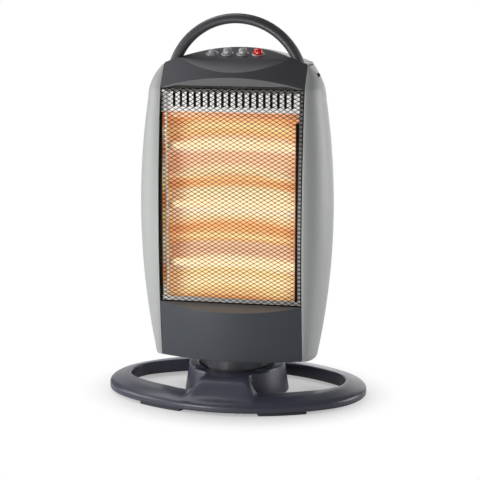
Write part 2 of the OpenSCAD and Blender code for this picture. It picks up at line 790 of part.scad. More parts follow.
// The side panel's form, thinner by t; where t is over 0 it reaches past the open side
module cheek_form(t) {
    inner_x = front_w / 2 - (t > 0 ? eps : 0);
    rows = 12;
    turns = 7;
    z0 = body_z + t;
    z_mid = corner_mid_z - t;
    last_turn = corner_turn - 3 - t * 5;
    levels = concat(
        [for (i = [0 : rows]) let (z = z0 + (z_mid - z0) * i / rows) [barrel_x(z), z]],
        [for (i = [1 : turns]) let (a = last_turn * i / turns)
            [corner_x + cheek_corner_r * cos(a), z_mid + cheek_corner_r * sin(a)]]);
    n = len(levels);
    m = cheek_steps + 1;
    points = [for (v = levels) each cheek_level(v[0], v[1], t, inner_x)];
    skin = [for (i = [0 : n - 2], j = [0 : m - 1]) let (a = i * m + j, b = i * m + (j + 1) % m)
        each [[a, a + m, b + m], [a, b + m, b]]];
    foot = [for (j = [1 : m - 2]) [0, j, j + 1]];
    lid = [for (j = [1 : m - 2]) [(n - 1) * m, (n - 1) * m + j + 1, (n - 1) * m + j]];
    polyhedron(points, concat(skin, foot, lid));
}

module side_panel_right() {
    color([0.74, 0.75, 0.74]) difference() {
        cheek_form(0);
        cheek_form(wall);
    }
}

module side_panel_left() {
    mirror([1, 0, 0]) side_panel_right();
}

module at_rear_screws() {
    for (s = [-1, 1], z = rear_screw_z)
        translate([s * (core_x - 2 * screw_head_r), depth_at(z, rear_d) - rear_screw_depth, z]) children();
}

module rear_cover() {
    color([0.25, 0.25, 0.27]) difference() {
        intersection() {
            difference() {
                profile_block(2 * core_x, rear_d, 1, 0);
                profile_block(front_w, rear_d, 1, wall);
            }
            translate([-far, 0, body_z]) cube([2 * far, far, rear_top - body_z]);
        }
        for (s = [-1, 1], i = [0 : louvre_rows - 1])
            translate([s * (louvre_l / 2 + 8), 0, body_z + louvre_z + i * louvre_pitch]) louvre_slot();
        for (s = [-1, 1], i = [0 : vent_rows - 1])
            translate([s * (louvre_l / 2 + 8), 0, vent_z + i * louvre_pitch]) louvre_slot();
        at_rear_screws() rotate([-90, 0, 0]) cylinder(r = screw_head_r + 0.3, h = far);
        at_rear_screws() rotate([90, 0, 0]) cylinder(r = screw_r, h = 20);
        at_grommet() rotate([-90, 0, 0]) cylinder(r = cord_r + 2.5, h = far, center = true);
    }
}

module louvre_slot() {
    rotate([-90, 0, 0]) linear_extrude(far) {
        square([louvre_l - louvre_h, louvre_h], center = true);
        for (s = [-1, 1]) translate([s * (louvre_l - louvre_h) / 2, 0]) circle(louvre_h / 2, $fn = 24);
    }
}

module rear_screws() {
    color([0.3, 0.3, 0.3]) at_rear_screws() rotate([90, 0, 0]) pan_head_screw(4);
}

module at_grommet() {
    translate([grommet_x, depth_at(grommet_z, rear_d), grommet_z]) children();
}

module cord_grommet() {
    flange = 3;
    color([0.08, 0.08, 0.08]) difference() {
        union() {
            difference() {
                at_grommet() rotate([-90, 0, 0]) translate([0, 0, -flange])
                    cylinder(r = cord_r + 5, h = 2 * flange);
                profile_block(front_w, rear_d, 1, 0);
            }
            at_grommet() rotate([-90, 0, 0]) translate([0, 0, -wall - 2])
                cylinder(r = cord_r + 2.4, h = wall + 2 + flange);
        }
        at_grommet() rotate([-90, 0, 0]) cylinder(r = cord_r, h = far, center = true);
    }
}

module handle() {
    straight = handle_d - handle_t;
    color([0.24, 0.24, 0.26]) difference() {
        translate([0, handle_y, handle_z]) rotate([90, 0, 0]) rotate([0, 0, 90 - handle_half])
            rotate_extrude(angle = 2 * handle_half) translate([handle_mid_r, 0]) {
                square([handle_t, straight], center = true);
                for (s = [-1, 1]) translate([0, s * straight / 2]) circle(handle_t / 2, $fn = 48);
            }
        cap_form(0);
        // the legs' ends are cut level with the cap's corners
        translate([-far, -far, handle_end_z - far]) cube([2 * far, 2 * far, far]);
        at_handle_screws() cylinder(r = screw_r, h = handle_screw_l);
    }
}

module handle_screws() {
    color([0.7, 0.7, 0.72]) at_handle_screws() pan_head_screw(handle_screw_l);
}

// ---------- frames and heating ----------

// A sheet with a foot on the floor pan, a lip along the back, and two stand-offs for the reflector
module side_frame_right() {
    front_y = -lower_split_y + gap;
    bracket_x = reflector_w / 2 + sheet;
    color([0.62, 0.63, 0.65]) difference() {
        union() {
            intersection() {
                translate([core_x - frame_t, front_y, pan_top])
                    cube([frame_t, far, guard_z1 - pan_top]);
                profile_block(front_w, rear_d, 1, wall + gap);
            }
            intersection() {
                difference() {
                    profile_block(front_w, rear_d, 1, wall + gap);
                    profile_block(front_w + 2, rear_d, 1, wall + gap + frame_t);
                }
                translate([core_x - frame_lip - 2, 0, pan_top])
                    cube([frame_lip + 2, far, guard_z1 - pan_top]);
            }
            translate([core_x - frame_lip, front_y, pan_top]) cube([frame_lip, 40, frame_t]);
            for (z = [reflector_z0 + 2, flange_z0 - 8])
                translate([bracket_x, front_y, z]) cube([core_x - bracket_x, 10, 6]);
        }
        at_tubes() along_x(ceramic_r + 0.6, front_w / 4, front_w);
        at_rear_screws() rotate([90, 0, 0]) cylinder(r = screw_r, h = far);
        translate([0, loom_y, 0]) for (z = loom_cross_z) translate([0, 0, z]) along_x(loom_r + 1, -far, far);
    }
}

module side_frame_left() {
    mirror([1, 0, 0]) side_frame_right();
}

module heat_shield() {
    back_y = rear_top_y - wall - 1;
    color([0.7, 0.71, 0.72]) difference() {
        translate([-core_x + wall + gap, -lower_split_y, shield_z])
            cube([2 * (core_x - wall - gap), lower_split_y + back_y, shield_t]);
        for (x = shield_hole_x) for (s = [-1, 1]) translate([s * x, cutout_y, shield_z - eps])
            cylinder(r = shield_hole_r, h = shield_t + 2 * eps);
        translate([-loom_top_x, loom_y, shield_z - eps]) cylinder(r = loom_r + 1, h = shield_t + 2 * eps);
    }
}

// Side view of the reflector sheet
module reflector_section() {
    for (i = [0 : tube_count - 1]) intersection() {
        translate([trough_back_y - trough_r, tube_z0 + i * tube_pitch]) difference() {
            circle(trough_r + sheet, $fn = 128);
            circle(trough_r, $fn = 128);
        }
        translate([-trough_y, tube_z0 + (i - 0.5) * tube_pitch]) square([far, tube_pitch]);
    }
    lip_z = tube_z0 - tube_pitch / 2;
    translate([-trough_y, reflector_z0]) square([sheet, lip_z - reflector_z0 + sheet]);
    top_z = tube_z0 + (tube_count - 0.5) * tube_pitch;
    translate([-trough_y, top_z - sheet]) square([sheet, guard_z1 - top_z + sheet]);
}

module reflector() {
    color([0.86, 0.85, 0.83]) difference() {
        rotate([90, 0, 90]) linear_extrude(reflector_w, center = true) reflector_section();
        for (i = [0 : slot_count - 1])
            translate([(i - (slot_count - 1) / 2) * slot_pitch - slot_w / 2, -trough_y - eps,
                guard_z1 - 3 - slot_h]) cube([slot_w, sheet + 2 * eps, slot_h]);
    }
}

module reflector_end_right() {
    color([0.84, 0.83, 0.82]) difference() {
        translate([reflector_w / 2, -trough_y - 5, reflector_z0])
            cube([sheet, trough_d + 5 + 2 * sheet, flange_z0 - reflector_z0]);
        at_tubes() along_x(tube_r + 0.5, front_w / 4, front_w);
    }
}

module reflector_end_left() {
    mirror([1, 0, 0]) reflector_end_right();
}

module quartz_tube(i) {
    color([0.95, 0.72, 0.4]) translate([0, tube_y, tube_z0 + i * tube_pitch]) difference() {
        along_x(tube_r, -tube_l / 2, tube_l / 2);
        along_x(tube_r - tube_wall, -tube_l, tube_l);
    }
}
module tube_lower() { quartz_tube(0); }
module tube_middle() { quartz_tube(1); }
module tube_upper() { quartz_tube(tube_count - 1); }

// The coil's core rod with the discs that centre it in the tube
module filament(i) {
    color([1, 0.6, 0.2]) translate([0, tube_y, tube_z0 + i * tube_pitch]) {
        along_x(filament_r, -ceramic_x0 - 4, ceramic_x0 + 4);
        for (k = [-3 : 3]) along_x(tube_r - tube_wall - 0.1, k * 24 - 0.4, k * 24 + 0.4);
    }
}
module filament_lower() { filament(0); }
module filament_middle() { filament(1); }
module filament_upper() { filament(tube_count - 1); }

module ceramic_ends() {
    seat = tube_l / 2 + 0.2;
    color([0.9, 0.88, 0.82]) for (s = [0, 1]) mirror([s, 0, 0]) at_tubes() difference() {
        along_x(ceramic_r, ceramic_x0, ceramic_x0 + ceramic_l);
        along_x(tube_r + 0.05, ceramic_x0 - eps, seat);
        along_x(filament_r + 0.1, 0, ceramic_x0 + ceramic_l + eps);
    }
}

module tube_clips() {
    ear = 3.5;
    color([0.75, 0.76, 0.78]) for (s = [0, 1]) mirror([s, 0, 0]) at_tubes() difference() {
        union() {
            along_x(ceramic_r + 3, core_x, core_x + clip_t);
            for (d = [-1, 1]) translate([core_x, -ear, d * (ceramic_r + 5) - ear])
                cube([clip_t, 2 * ear, 2 * ear]);
        }
        along_x(ceramic_r + 0.05, 0, far);
        for (d = [-1, 1]) translate([0, 0, d * (ceramic_r + 5.5)]) along_x(screw_r, 0, far);
    }
}

// ---------- guard ----------

module guard_block(w, z0, z1, depth) {
    intersection() {
        difference() {
            profile_block(w, front_d, -1, 0);
            profile_block(front_w + 2, front_d, -1, depth);
        }
        translate([-far, -far, z0]) cube([2 * far, far, z1 - z0]);
    }
}

module guard_frame() {
    color([0.3, 0.28, 0.27]) difference() {
        guard_block(2 * core_x, guard_foot, guard_head, guard_fold);
        guard_block(2 * (core_x - guard_side), guard_foot + guard_rim, guard_head - guard_rim, 2 * guard_fold);
        // room for the reflector's flange behind the upper rim
        translate([-reflector_w / 2 - gap, -trough_y - gap, flange_z0])
            cube([reflector_w + 2 * gap, far, far]);
    }
}

// Staggered diamonds inside the guard's rim
module guard_mesh() {
    w = 2 * (core_x - guard_side);
    h = guard_head - guard_foot - 2 * guard_rim;
    px = w / mesh_across;
    pz = h / mesh_up;
    // the strands' width, measured across and up
    len_ratio = sqrt(px * px + pz * pz);
    cut_x = px / 2 - strand * len_ratio / pz / 2;
    cut_z = pz / 2 - strand * len_ratio / px / 2;
    color([0.35, 0.33, 0.32]) intersection() {
        guard_block(w, guard_foot + guard_rim, guard_head - guard_rim, guard_t);
        translate([-w / 2, 0, guard_foot + guard_rim]) rotate([90, 0, 0]) linear_extrude(far) difference() {
            square([w, h]);
            for (i = [0 : mesh_across - 1], j = [0 : mesh_up - 1], k = [0, 0.5])
                translate([(i + 0.5 + k) * px, (j + 0.5 + k) * pz])
                    polygon([[-cut_x, 0], [0, -cut_z], [cut_x, 0], [0, cut_z]]);
            for (j = [0 : mesh_up - 2]) translate([0, (j + 1) * pz])
                polygon([[0, -cut_z], [cut_x, 0], [0, cut_z]]);
        }
    }
}

// ---------- buttons ----------

// A button, its collar under the panel and its stem, drawn dn below its free height
module button(i, tint, dn) {
    color(tint) on_panel(button_x0 + i * button_pitch) translate([0, 0, -dn]) {
        rotate_extrude($fn = 48) {
            square([button_r, button_h - dome_rise]);
            intersection() {
                translate([0, button_h - dome_r]) circle(dome_r, $fn = 96);
                square([button_r, button_h]);
            }
        }
        translate([0, 0, -wall - 0.2 - button_collar_t]) {
            cylinder(r = button_r, h = wall + 0.2 + button_collar_t);
            cylinder(r = button_r + button_flange, h = button_collar_t);
        }
        translate([0, 0, -wall - switch_gap - stem_l]) cylinder(r = stem_r, h = stem_l + switch_gap);
    }
}

module heat_button_1() { button(0, [0.55, 0.56, 0.57], button_travel); }
module heat_button_2() { button(1, [0.55, 0.56, 0.57], 0); }
module heat_button_3() { button(2, [0.55, 0.56, 0.57], 0); }
module swing_button() { button(3, [0.85, 0.08, 0.08], 0); }

module button_bezels() {
    color([0.6, 0.6, 0.62]) at_buttons() difference() {
        cylinder(r = bezel_r, h = bezel_h, $fn = 48);
        translate([0, 0, -eps]) cylinder(r = hole_r, h = bezel_h + 2 * eps, $fn = 48);
    }
}

module switch_block() {
    half_l = button_pitch * (button_count - 1) / 2 + button_r + button_flange + 2 * gap + post_w;
    half_d = 8;
    top = -wall - switch_gap;
    color([0.15, 0.15, 0.16]) difference() {
        union() {
            on_panel(0) translate([-half_l, -half_d, top - switch_h]) cube([2 * half_l, 2 * half_d, switch_h]);
            for (s = [-1, 1]) on_panel(s * (half_l - post_w / 2)) translate([-post_w / 2, -half_d, top - eps])
                cube([post_w, 2 * half_d, switch_gap + eps - 0.05]);
        }
        at_buttons() translate([0, 0, top - stem_l - button_travel - 1]) cylinder(r = stem_r + 0.3, h = 40);
    }
}

// ---------- safety, wiring ----------

module tilt_switch() {
    t = 1.5;
    color([0.8, 0.8, 0.78]) translate([tilt_x, tilt_y, pan_top]) {
        translate([-tilt_w / 2, -9, 0]) cube([tilt_w, 18, t]);
        for (s = [-1, 1]) translate([s * (tilt_w / 2 - t / 2) - t / 2, -5, 0])
            cube([t, 10, tilt_pin_z - pan_top + 4]);
        translate([0, 0, tilt_pin_z - pan_top]) along_x(tilt_pin_r, -tilt_w / 2 + t / 2, tilt_w / 2 - t / 2);
    }
}

module tilt_pendulum() {
    color([0.72, 0.66, 0.4]) translate([tilt_x, tilt_y, tilt_pin_z]) difference() {
        union() {
            along_x(3, -4, 4);
            translate([0, 0, -19]) cylinder(r = 1.5, h = 19);
            translate([0, 0, -20]) along_x(5, -5, 5);
        }
        along_x(tilt_pin_r + 0.05, -5, 5);
    }
}

module thermal_cutout() {
    color([0.75, 0.72, 0.66]) translate([0, cutout_y, shield_z + shield_t]) {
        cylinder(r = 8, h = 4);
        translate([0, 0, 3]) cylinder(r = 6, h = 4);
        for (s = [-1, 1]) translate([s * 9 - 3, -3, 2]) cube([6, 6, 0.8]);
    }
}

module terminal_block() {
    color([0.92, 0.9, 0.84]) translate([terminal_x, terminal_y, pan_top]) difference() {
        translate([-20, -8, 0]) cube([40, 16, terminal_h]);
        for (i = [-1.5 : 1.5]) translate([i * 9, 0, 6]) {
            cylinder(r = 2.2, h = far);
            rotate([90, 0, 0]) cylinder(r = 1.6, h = far, center = true);
        }
    }
}

// The wire bundle that climbs inside the left side panel, as straight runs with round bends
module wire_loom() {
    route = [[terminal_x, loom_y, pan_top + terminal_h], [terminal_x, loom_y, loom_cross_z[0]],
        [-loom_x, loom_y, loom_cross_z[0]], [-loom_x, loom_y, loom_cross_z[1]],
        [-loom_top_x, loom_y, loom_cross_z[1]], [-loom_top_x, loom_y, shield_z + loom_end]];
    color([0.6, 0.12, 0.1]) for (i = [0 : len(route) - 2]) {
        a = route[i];
        b = route[i + 1];
        translate([min(a[0], b[0]), a[1], min(a[2], b[2])])
            rotate(a[2] == b[2] ? [0, 90, 0] : [0, 0, 0]) cylinder(r = loom_r, h = norm(b - a), $fn = 24);
        if (i > 0) translate(a) sphere(r = loom_r, $fn = 24);
    }
}

base();
foot_pads();
slide_ring();
fixed_gear();
gear_screws();
swivel_collar();
retaining_washer();
retaining_clip();
floor_pan();
collar_screws();
gear_motor();
motor_screws();
drive_pinion();
lower_panel();
top_cap();
side_panel_left();
side_panel_right();
rear_cover();
rear_screws();
handle();
handle_screws();
side_frame_left();
side_frame_right();
heat_shield();
reflector();
reflector_end_left();
reflector_end_right();
tube_lower();
tube_middle();
tube_upper();
filament_lower();
filament_middle();
filament_upper();
ceramic_ends();
tube_clips();
guard_mesh();
guard_frame();
heat_button_1();
heat_button_2();
heat_button_3();
swing_button();
button_bezels();
switch_block();
tilt_switch();
tilt_pendulum();
thermal_cutout();
terminal_block();
cord_grommet();
wire_loom();
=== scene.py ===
"""Looks of a halogen heater: glowing quartz tubes in a silver housing that turns on an oval ring base.

Every length is in metres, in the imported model's frame: the origin on the floor under the swivel axis, +Z up,
and the grille towards -Y. Each class with a build method is one sub-assembly of the heater or its stage, and
main() builds them in order.
"""
import logging
import math
from contextlib import contextmanager
from dataclasses import dataclass
from enum import Enum
from typing import Callable, Dict, Iterator, List, Optional, Sequence, Tuple, Union

import bmesh
import bpy
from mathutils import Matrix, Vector


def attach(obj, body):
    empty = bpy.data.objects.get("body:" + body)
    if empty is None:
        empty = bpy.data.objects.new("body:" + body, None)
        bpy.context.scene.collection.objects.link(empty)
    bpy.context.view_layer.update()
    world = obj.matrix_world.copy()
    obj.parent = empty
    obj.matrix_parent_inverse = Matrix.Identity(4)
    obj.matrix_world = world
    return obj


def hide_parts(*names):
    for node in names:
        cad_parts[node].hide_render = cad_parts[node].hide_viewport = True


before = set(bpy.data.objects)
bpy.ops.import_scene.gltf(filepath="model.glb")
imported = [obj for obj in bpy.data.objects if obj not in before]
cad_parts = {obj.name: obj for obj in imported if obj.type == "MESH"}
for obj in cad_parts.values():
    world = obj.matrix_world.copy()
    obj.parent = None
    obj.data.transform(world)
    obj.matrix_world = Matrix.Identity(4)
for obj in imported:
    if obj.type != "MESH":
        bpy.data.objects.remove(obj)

log = logging.getLogger("heater")

Colour = Tuple[float, float, float]
Place = Sequence[float]
Value = Union[float, Sequence[float], "Socket"]
Test = Callable[[Vector, Vector], bool]
Weight = Callable[[Vector], float]
Owner = Union[bpy.types.Material, bpy.types.World]

MM = 0.001
HAIR = 0.01 * MM  # places nearer than this are the same place
UPRIGHT = (math.pi / 2, 0, 0)  # turns a flat primitive to face the front
ALONG_X = (0, math.pi / 2, 0)  # lays an upright primitive along the X axis


# ---------------------------------------------------------------------------
# Shader nodes as plain expressions
# ---------------------------------------------------------------------------


class Socket:
    """An output of a shader node that can be used in plain arithmetic."""

    def __init__(self, graph: "Graph", link: bpy.types.NodeSocket) -> None:
        """Keeps the graph and the node output that this value stands for."""
        self.graph = graph
        self.link = link

    def __add__(self, other: Value) -> "Socket":
        """self + other."""
        return self.graph.maths("ADD", self, other)

    __radd__ = __add__

    def __sub__(self, other: Value) -> "Socket":
        """self - other."""
        return self.graph.maths("SUBTRACT", self, other)

    def __rsub__(self, other: Value) -> "Socket":
        """other - self."""
        return self.graph.maths("SUBTRACT", other, self)

    def __mul__(self, other: Value) -> "Socket":
        """self * other."""
        return self.graph.maths("MULTIPLY", self, other)

    __rmul__ = __mul__


class Graph:
    """The node tree of a material or of the world."""

    def __init__(self, owner: Owner) -> None:
        """Empties the owner's node tree.

        Args:
            owner: The material or world.
        """
        owner.use_nodes = True
        self.owner = owner
        self.tree = owner.node_tree
        self.tree.nodes.clear()

    def add(self, kind: str, settings: Optional[Dict] = None, inputs: Optional[Dict] = None,
            out: Union[int, str] = 0) -> Optional[Socket]:
        """Adds a node.

        Args:
            kind: The node's type.
            settings: Its own settings, which are set first; "stops" are the stops of a colour ramp.
            inputs: Values or links of its sockets, by name or number.
            out: The output to return, by name or number.

        Returns:
            That output; nothing where the node has none.
        """
        node = self.tree.nodes.new(kind)
        for key, value in (settings or {}).items():
            if key == "stops":
                elements = node.color_ramp.elements
                while len(elements) > 1:
                    elements.remove(elements[-1])
                for i, (at, colour) in enumerate(value):
                    stop = elements[0] if i == 0 else elements.new(at)
                    stop.position, stop.color = at, (*colour, 1)
            else:
                setattr(node, key, value)
        for key, value in (inputs or {}).items():
            if isinstance(value, Socket):
                self.tree.links.new(value.link, node.inputs[key])
            else:
                node.inputs[key].default_value = value
        return Socket(self, node.outputs[out]) if node.outputs else None

    def maths(self, operation: str, first: Value, second: Value = 0.0) -> Socket:
        """The result of a Math node with this operation."""
        return self.add("ShaderNodeMath", {"operation": operation}, {0: first, 1: second})

    def ray(self, kind: str) -> Socket:
        """Whether a ray is of this kind: Camera, Glossy, Diffuse or Transmission."""
        return self.add("ShaderNodeLightPath", out=f"Is {kind} Ray")

    def place(self, stretch: Place = (1, 1, 1)) -> Socket:
        """The object's own coordinates in metres, times stretch."""
        own = self.add("ShaderNodeTexCoord", out="Object")
        return self.add("ShaderNodeMapping", None, {"Vector": own, "Scale": stretch})

    def along(self, axis: str) -> Socket:
        """The object's own coordinate along X, Y or Z, in metres."""
        own = self.add("ShaderNodeTexCoord", out="Object")
        return self.add("ShaderNodeSeparateXYZ", None, {"Vector": own}, out=axis)

    def noise(self, place: Socket, size: float, detail: float = 2, rough: float = 0.5) -> Socket:
        """Smooth noise from about 0 to 1.

        Args:
            place: Coordinates.
            size: Size of its blotches, in metres.
            detail: Number of finer layers.
            rough: Weight of the finer layers.

        Returns:
            The noise.
        """
        return self.add("ShaderNodeTexNoise", None,
                        {"Vector": place, "Scale": 1 / size, "Detail": detail, "Roughness": rough})

    def ramp(self, value: Socket, low: float, high: float) -> Socket:
        """Rises smoothly from 0 at low to 1 at high."""
        return self.add("ShaderNodeMapRange", {"interpolation_type": "SMOOTHSTEP"},
                        {"Value": value, "From Min": low, "From Max": high})

    def mix(self, share: Value, first: Value, second: Value) -> Socket:
        """Blends two colours.

        Args:
            share: Share of the second.
            first: A colour or a link.
            second: A colour or a link.

        Returns:
            The blend.
        """
        full = [(*c, 1) if not isinstance(c, Socket) else c for c in (first, second)]
        return self.add("ShaderNodeMix", {"data_type": "RGBA"}, {0: share, 6: full[0], 7: full[1]}, out=2)

    def relief(self, height: Socket, depth: float, edge: float) -> Socket:
        """The surface's normal with a relief, and with its sharp edges eased.

        Args:
            height: The relief, from 0 to 1.
            depth: Its depth in metres.
            edge: Radius that sharp edges seem to have, in metres.

        Returns:
            The normal.
        """
        eased = self.add("ShaderNodeBevel", {"samples": 6}, {"Radius": edge})
        return self.add("ShaderNodeBump", None,
                        {"Strength": 1.0, "Distance": depth, "Height": height, "Normal": eased})

    def finish(self, shader: Socket, output: str = "ShaderNodeOutputMaterial") -> Owner:
        """Makes the shader the tree's surface, and returns the tree's owner."""
        self.add(output, None, {"Surface": shader})
        return self.owner

    def principled(self, sockets: Dict) -> bpy.types.Material:
        """Finishes the material with a Principled shader that has these sockets."""
        return self.finish(self.add("ShaderNodeBsdfPrincipled", None, sockets))


# ---------------------------------------------------------------------------
# Finishes
# ---------------------------------------------------------------------------


def toned(colour: Colour, share: float, lift: float = 0.0) -> Colour:
    """The colour times share plus lift, with no channel above 1."""
    return tuple(min(1.0, c * share + lift) for c in colour)


@dataclass(frozen=True)
class Moulding:
    """Moulded plastic or rubber with a fine eroded grain and a slight drift of tone."""

    name: str
    colour: Colour
    roughness: float = 0.42
    grain: float = 0.55 * MM
    grain_depth: float = 0.035 * MM
    edge: float = 0.7 * MM
    coat: float = 0.0
    # glow paints light into the surface, for parts that are no lamp
    glow: Optional[Colour] = None
    glow_strength: float = 0.0
    drift: float = 0.10
    lift: float = 0.004
    cloud: float = 70 * MM
    rub: float = 18 * MM
    rub_limits: Tuple[float, float] = (0.56, 0.78)
    rub_gloss: float = 0.07
    uneven_gloss: float = 0.10

    def material(self) -> bpy.types.Material:
        """The finish as a material: tone, gloss and grain all vary a little over the surface.

        Returns:
            The material.
        """
        g = Graph(bpy.data.materials.new(self.name))
        place = g.place()
        cloud = g.noise(place, self.cloud, 3)
        grain = g.noise(place, self.grain, 2, 0.6)
        rub = g.ramp(g.noise(g.place((1, 1, 0.25)), self.rub, 5, 0.65), *self.rub_limits)
        uneven = self.uneven_gloss * (cloud - 0.5) + self.uneven_gloss * (grain - 0.5)
        dark = toned(self.colour, 1 - self.drift)
        light = toned(self.colour, 1 + self.drift, self.lift)
        sockets = {
            "Base Color": g.mix(cloud, dark, light),
            "Roughness": self.roughness + uneven + self.rub_gloss * rub,
            "Coat Weight": self.coat, "Coat Roughness": 0.12, "IOR": 1.49,
            "Normal": g.relief(grain, self.grain_depth, self.edge)}
        if self.glow:
            sockets.update({"Emission Color": (*self.glow, 1), "Emission Strength": self.glow_strength})
        return g.principled(sockets)


@dataclass(frozen=True)
class FlakePaint:
    """Silver paint: fine metal flakes under a thin clear layer."""

    name: str
    colour: Colour
    roughness: float = 0.66
    metallic: float = 0.3
    flake: float = 0.35 * MM
    cloud: float = 90 * MM
    peel: float = 1.6 * MM
    drift: float = 0.08

    def material(self) -> bpy.types.Material:
        """The finish as a material: each flake has its own tone and tilt.

        Returns:
            The material.
        """
        g = Graph(bpy.data.materials.new(self.name))
        place = g.place()
        cell = g.add("ShaderNodeTexVoronoi", {"feature": "F1"}, {"Vector": place, "Scale": 1 / self.flake},
                     out="Color")
        flake = g.add("ShaderNodeSeparateColor", None, {"Color": cell})
        cloud = g.noise(place, self.cloud, 3)
        peel = g.noise(place, self.peel, 1)
        return g.principled({
            "Base Color": g.mix(0.75 * flake + 0.25 * cloud, toned(self.colour, 1 - self.drift),
                                toned(self.colour, 1 + self.drift)),
            "Metallic": self.metallic,
            "Roughness": self.roughness + 0.08 * (cloud - 0.5) + 0.12 * (flake - 0.5),
            "Coat Weight": 0.1, "Coat Roughness": 0.3,
            "Normal": g.relief(0.4 * flake + peel, 0.004 * MM, 0.8 * MM)})


class Grain(Enum):
    """Direction in which a metal sheet was rolled or brushed."""

    ALONG_X = (0.03, 1, 1)
    ALONG_Z = (1, 1, 0.03)
    NONE = (1, 1, 1)


@dataclass(frozen=True)
class Metal:
    """Bare or plated metal with fine lines along its grain."""

    name: str
    colour: Colour
    roughness: float = 0.25
    grain: Grain = Grain.NONE
    line: float = 0.5 * MM
    depth: float = 0.008 * MM
    spot: float = 30 * MM
    blotch: float = 0.12
    edge: float = 0.3 * MM

    def material(self) -> bpy.types.Material:
        """The finish as a material: lines and dull spots in an even metal.

        Returns:
            The material.
        """
        g = Graph(bpy.data.materials.new(self.name))
        lines = g.noise(g.place(self.grain.value), self.line, 3, 0.6)
        cloud = g.noise(g.place(), self.spot, 4, 0.6)
        return g.principled({
            "Base Color": g.mix(cloud, toned(self.colour, 1 - self.blotch), self.colour), "Metallic": 1.0,
            "Roughness": self.roughness + 0.12 * (cloud - 0.5) + 0.10 * (lines - 0.5),
            "Normal": g.relief(lines, self.depth, self.edge)})


@dataclass(frozen=True)
class HotGlass:
    """A quartz tube lit by the coil inside it: clear at its ends, full of light along its middle."""

    name: str
    tint: Colour
    glow: Colour
    strength: float
    lit_half: float
    fade: Tuple[float, float] = (-6 * MM, 4 * MM)

    def material(self) -> bpy.types.Material:
        """The finish as a material: see-through glass with its glow on top.

        Returns:
            The material.
        """
        g = Graph(bpy.data.materials.new(self.name))
        away = g.maths("ABSOLUTE", g.along("X"))
        lit = 1 - g.ramp(away, self.lit_half + self.fade[0], self.lit_half + self.fade[1])
        ripple = g.noise(g.place((0.4, 1, 1)), 3 * MM, 2)
        return g.principled({
            "Base Color": g.mix(ripple, self.tint, (1, 0.96, 0.9)), "Roughness": 0.04 + 0.05 * ripple,
            "IOR": 1.46, "Alpha": 0.30 + 0.30 * lit,
            "Emission Color": g.mix(lit, (0.02, 0.01, 0.006), self.glow), "Emission Strength": self.strength})


@dataclass(frozen=True)
class HotWire:
    """Glowing resistance wire."""

    name: str
    colour: Colour
    strength: float
    cooling: Colour = (0.9, 0.72, 0.5)

    def material(self) -> bpy.types.Material:
        """The finish as a material: the glow is a little uneven from turn to turn.

        Returns:
            The material.
        """
        g = Graph(bpy.data.materials.new(self.name))
        turn = g.noise(g.place((1, 0.2, 0.2)), 4 * MM, 3)
        cool = tuple(c * share for c, share in zip(self.colour, self.cooling))
        return g.principled({
            "Base Color": (0.2, 0.1, 0.05, 1), "Roughness": 0.5 + 0.1 * turn,
            "Emission Color": g.mix(g.ramp(turn, 0.35, 0.6), cool, self.colour),
            "Emission Strength": self.strength})


class Heat(Enum):
    """Colours of the light that the polished sheet throws back."""

    EMBER = (0.80, 0.29, 0.10)
    ROSE = (0.80, 0.50, 0.37)
    AMBER = (0.92, 0.47, 0.19)
    STRAW = (0.96, 0.74, 0.35)
    CREAM = (0.98, 0.86, 0.55)
    WHITE = (1.0, 0.98, 0.86)


@dataclass(frozen=True)
class GlowingMirror:
    """A polished sheet with the tubes' light in it, as streaks; each streak has its height in millimetres."""

    name: str
    low: float
    high: float
    lit_half: float
    streaks: Tuple[Tuple[float, Heat], ...]
    strength: float = 0.92
    metal: Colour = (0.34, 0.25, 0.19)
    # painted light: the flat edges above and below the troughs give off this pale grey as their own light
    flange_painted_light: Colour = (0.44, 0.435, 0.43)
    flange_metal: Colour = (0.62, 0.60, 0.57)
    end_shade: Colour = (0.42, 0.14, 0.06)
    sag: float = 1.1
    waver: float = 8 * MM
    wisp: float = 0.34
    soft_edge: float = 1.5 * MM

    def material(self) -> bpy.types.Material:
        """The finish as a material: bare metal, with the streaks as its own light.

        Returns:
            The material.
        """
        g = Graph(bpy.data.materials.new(self.name))
        z = g.along("Z")
        away = g.maths("ABSOLUTE", g.along("X"))
        # the streaks sag a little towards their ends, and waver
        ripple = g.noise(g.place((0.22, 1, 1)), 18 * MM, 3)
        level = z + self.waver * (ripple - 0.5) + self.sag * away * away
        tall = self.high - self.low
        stops = tuple(((at * MM - self.low) / tall, heat.value) for at, heat in self.streaks)
        streak = g.add("ShaderNodeValToRGB", {"stops": stops}, {"Fac": (level - self.low) * (1 / tall)})
        wisps = g.noise(g.place((0.10, 1, 1)), 4 * MM, 3, 0.6)
        glow = g.mix(self.wisp * wisps, streak, Heat.AMBER.value)
        lit = 1 - g.ramp(away, self.lit_half - 22 * MM, self.lit_half + 8 * MM)
        # the flat edges above and below the troughs get no streaks, but give off an even pale grey of their
        # own: painted light
        beyond = (g.ramp(z, self.high - self.soft_edge, self.high + self.soft_edge) + 1
                  - g.ramp(z, self.low - MM, self.low + MM))
        lines = g.noise(g.place(Grain.ALONG_X.value), 0.5 * MM, 3, 0.6)
        return g.principled({
            "Base Color": g.mix(beyond, self.metal, self.flange_metal), "Metallic": 1.0 - 0.5 * beyond,
            "Roughness": 0.20 + 0.1 * lines + 0.2 * beyond,
            "Emission Color": g.mix(beyond, g.mix(0.35 + 0.65 * lit, self.end_shade, glow), self.flange_painted_light),
            "Emission Strength": self.strength, "Normal": g.relief(lines, 0.008 * MM, 0.3 * MM)})


# ---------------------------------------------------------------------------
# Modelling, as by hand
# ---------------------------------------------------------------------------


def rise(value: float, low: float, high: float) -> float:
    """Rises smoothly from 0 at low to 1 at high; high may be the smaller one."""
    u = min(1.0, max(0.0, (value - low) / (high - low)))
    return u * u * (3 - 2 * u)


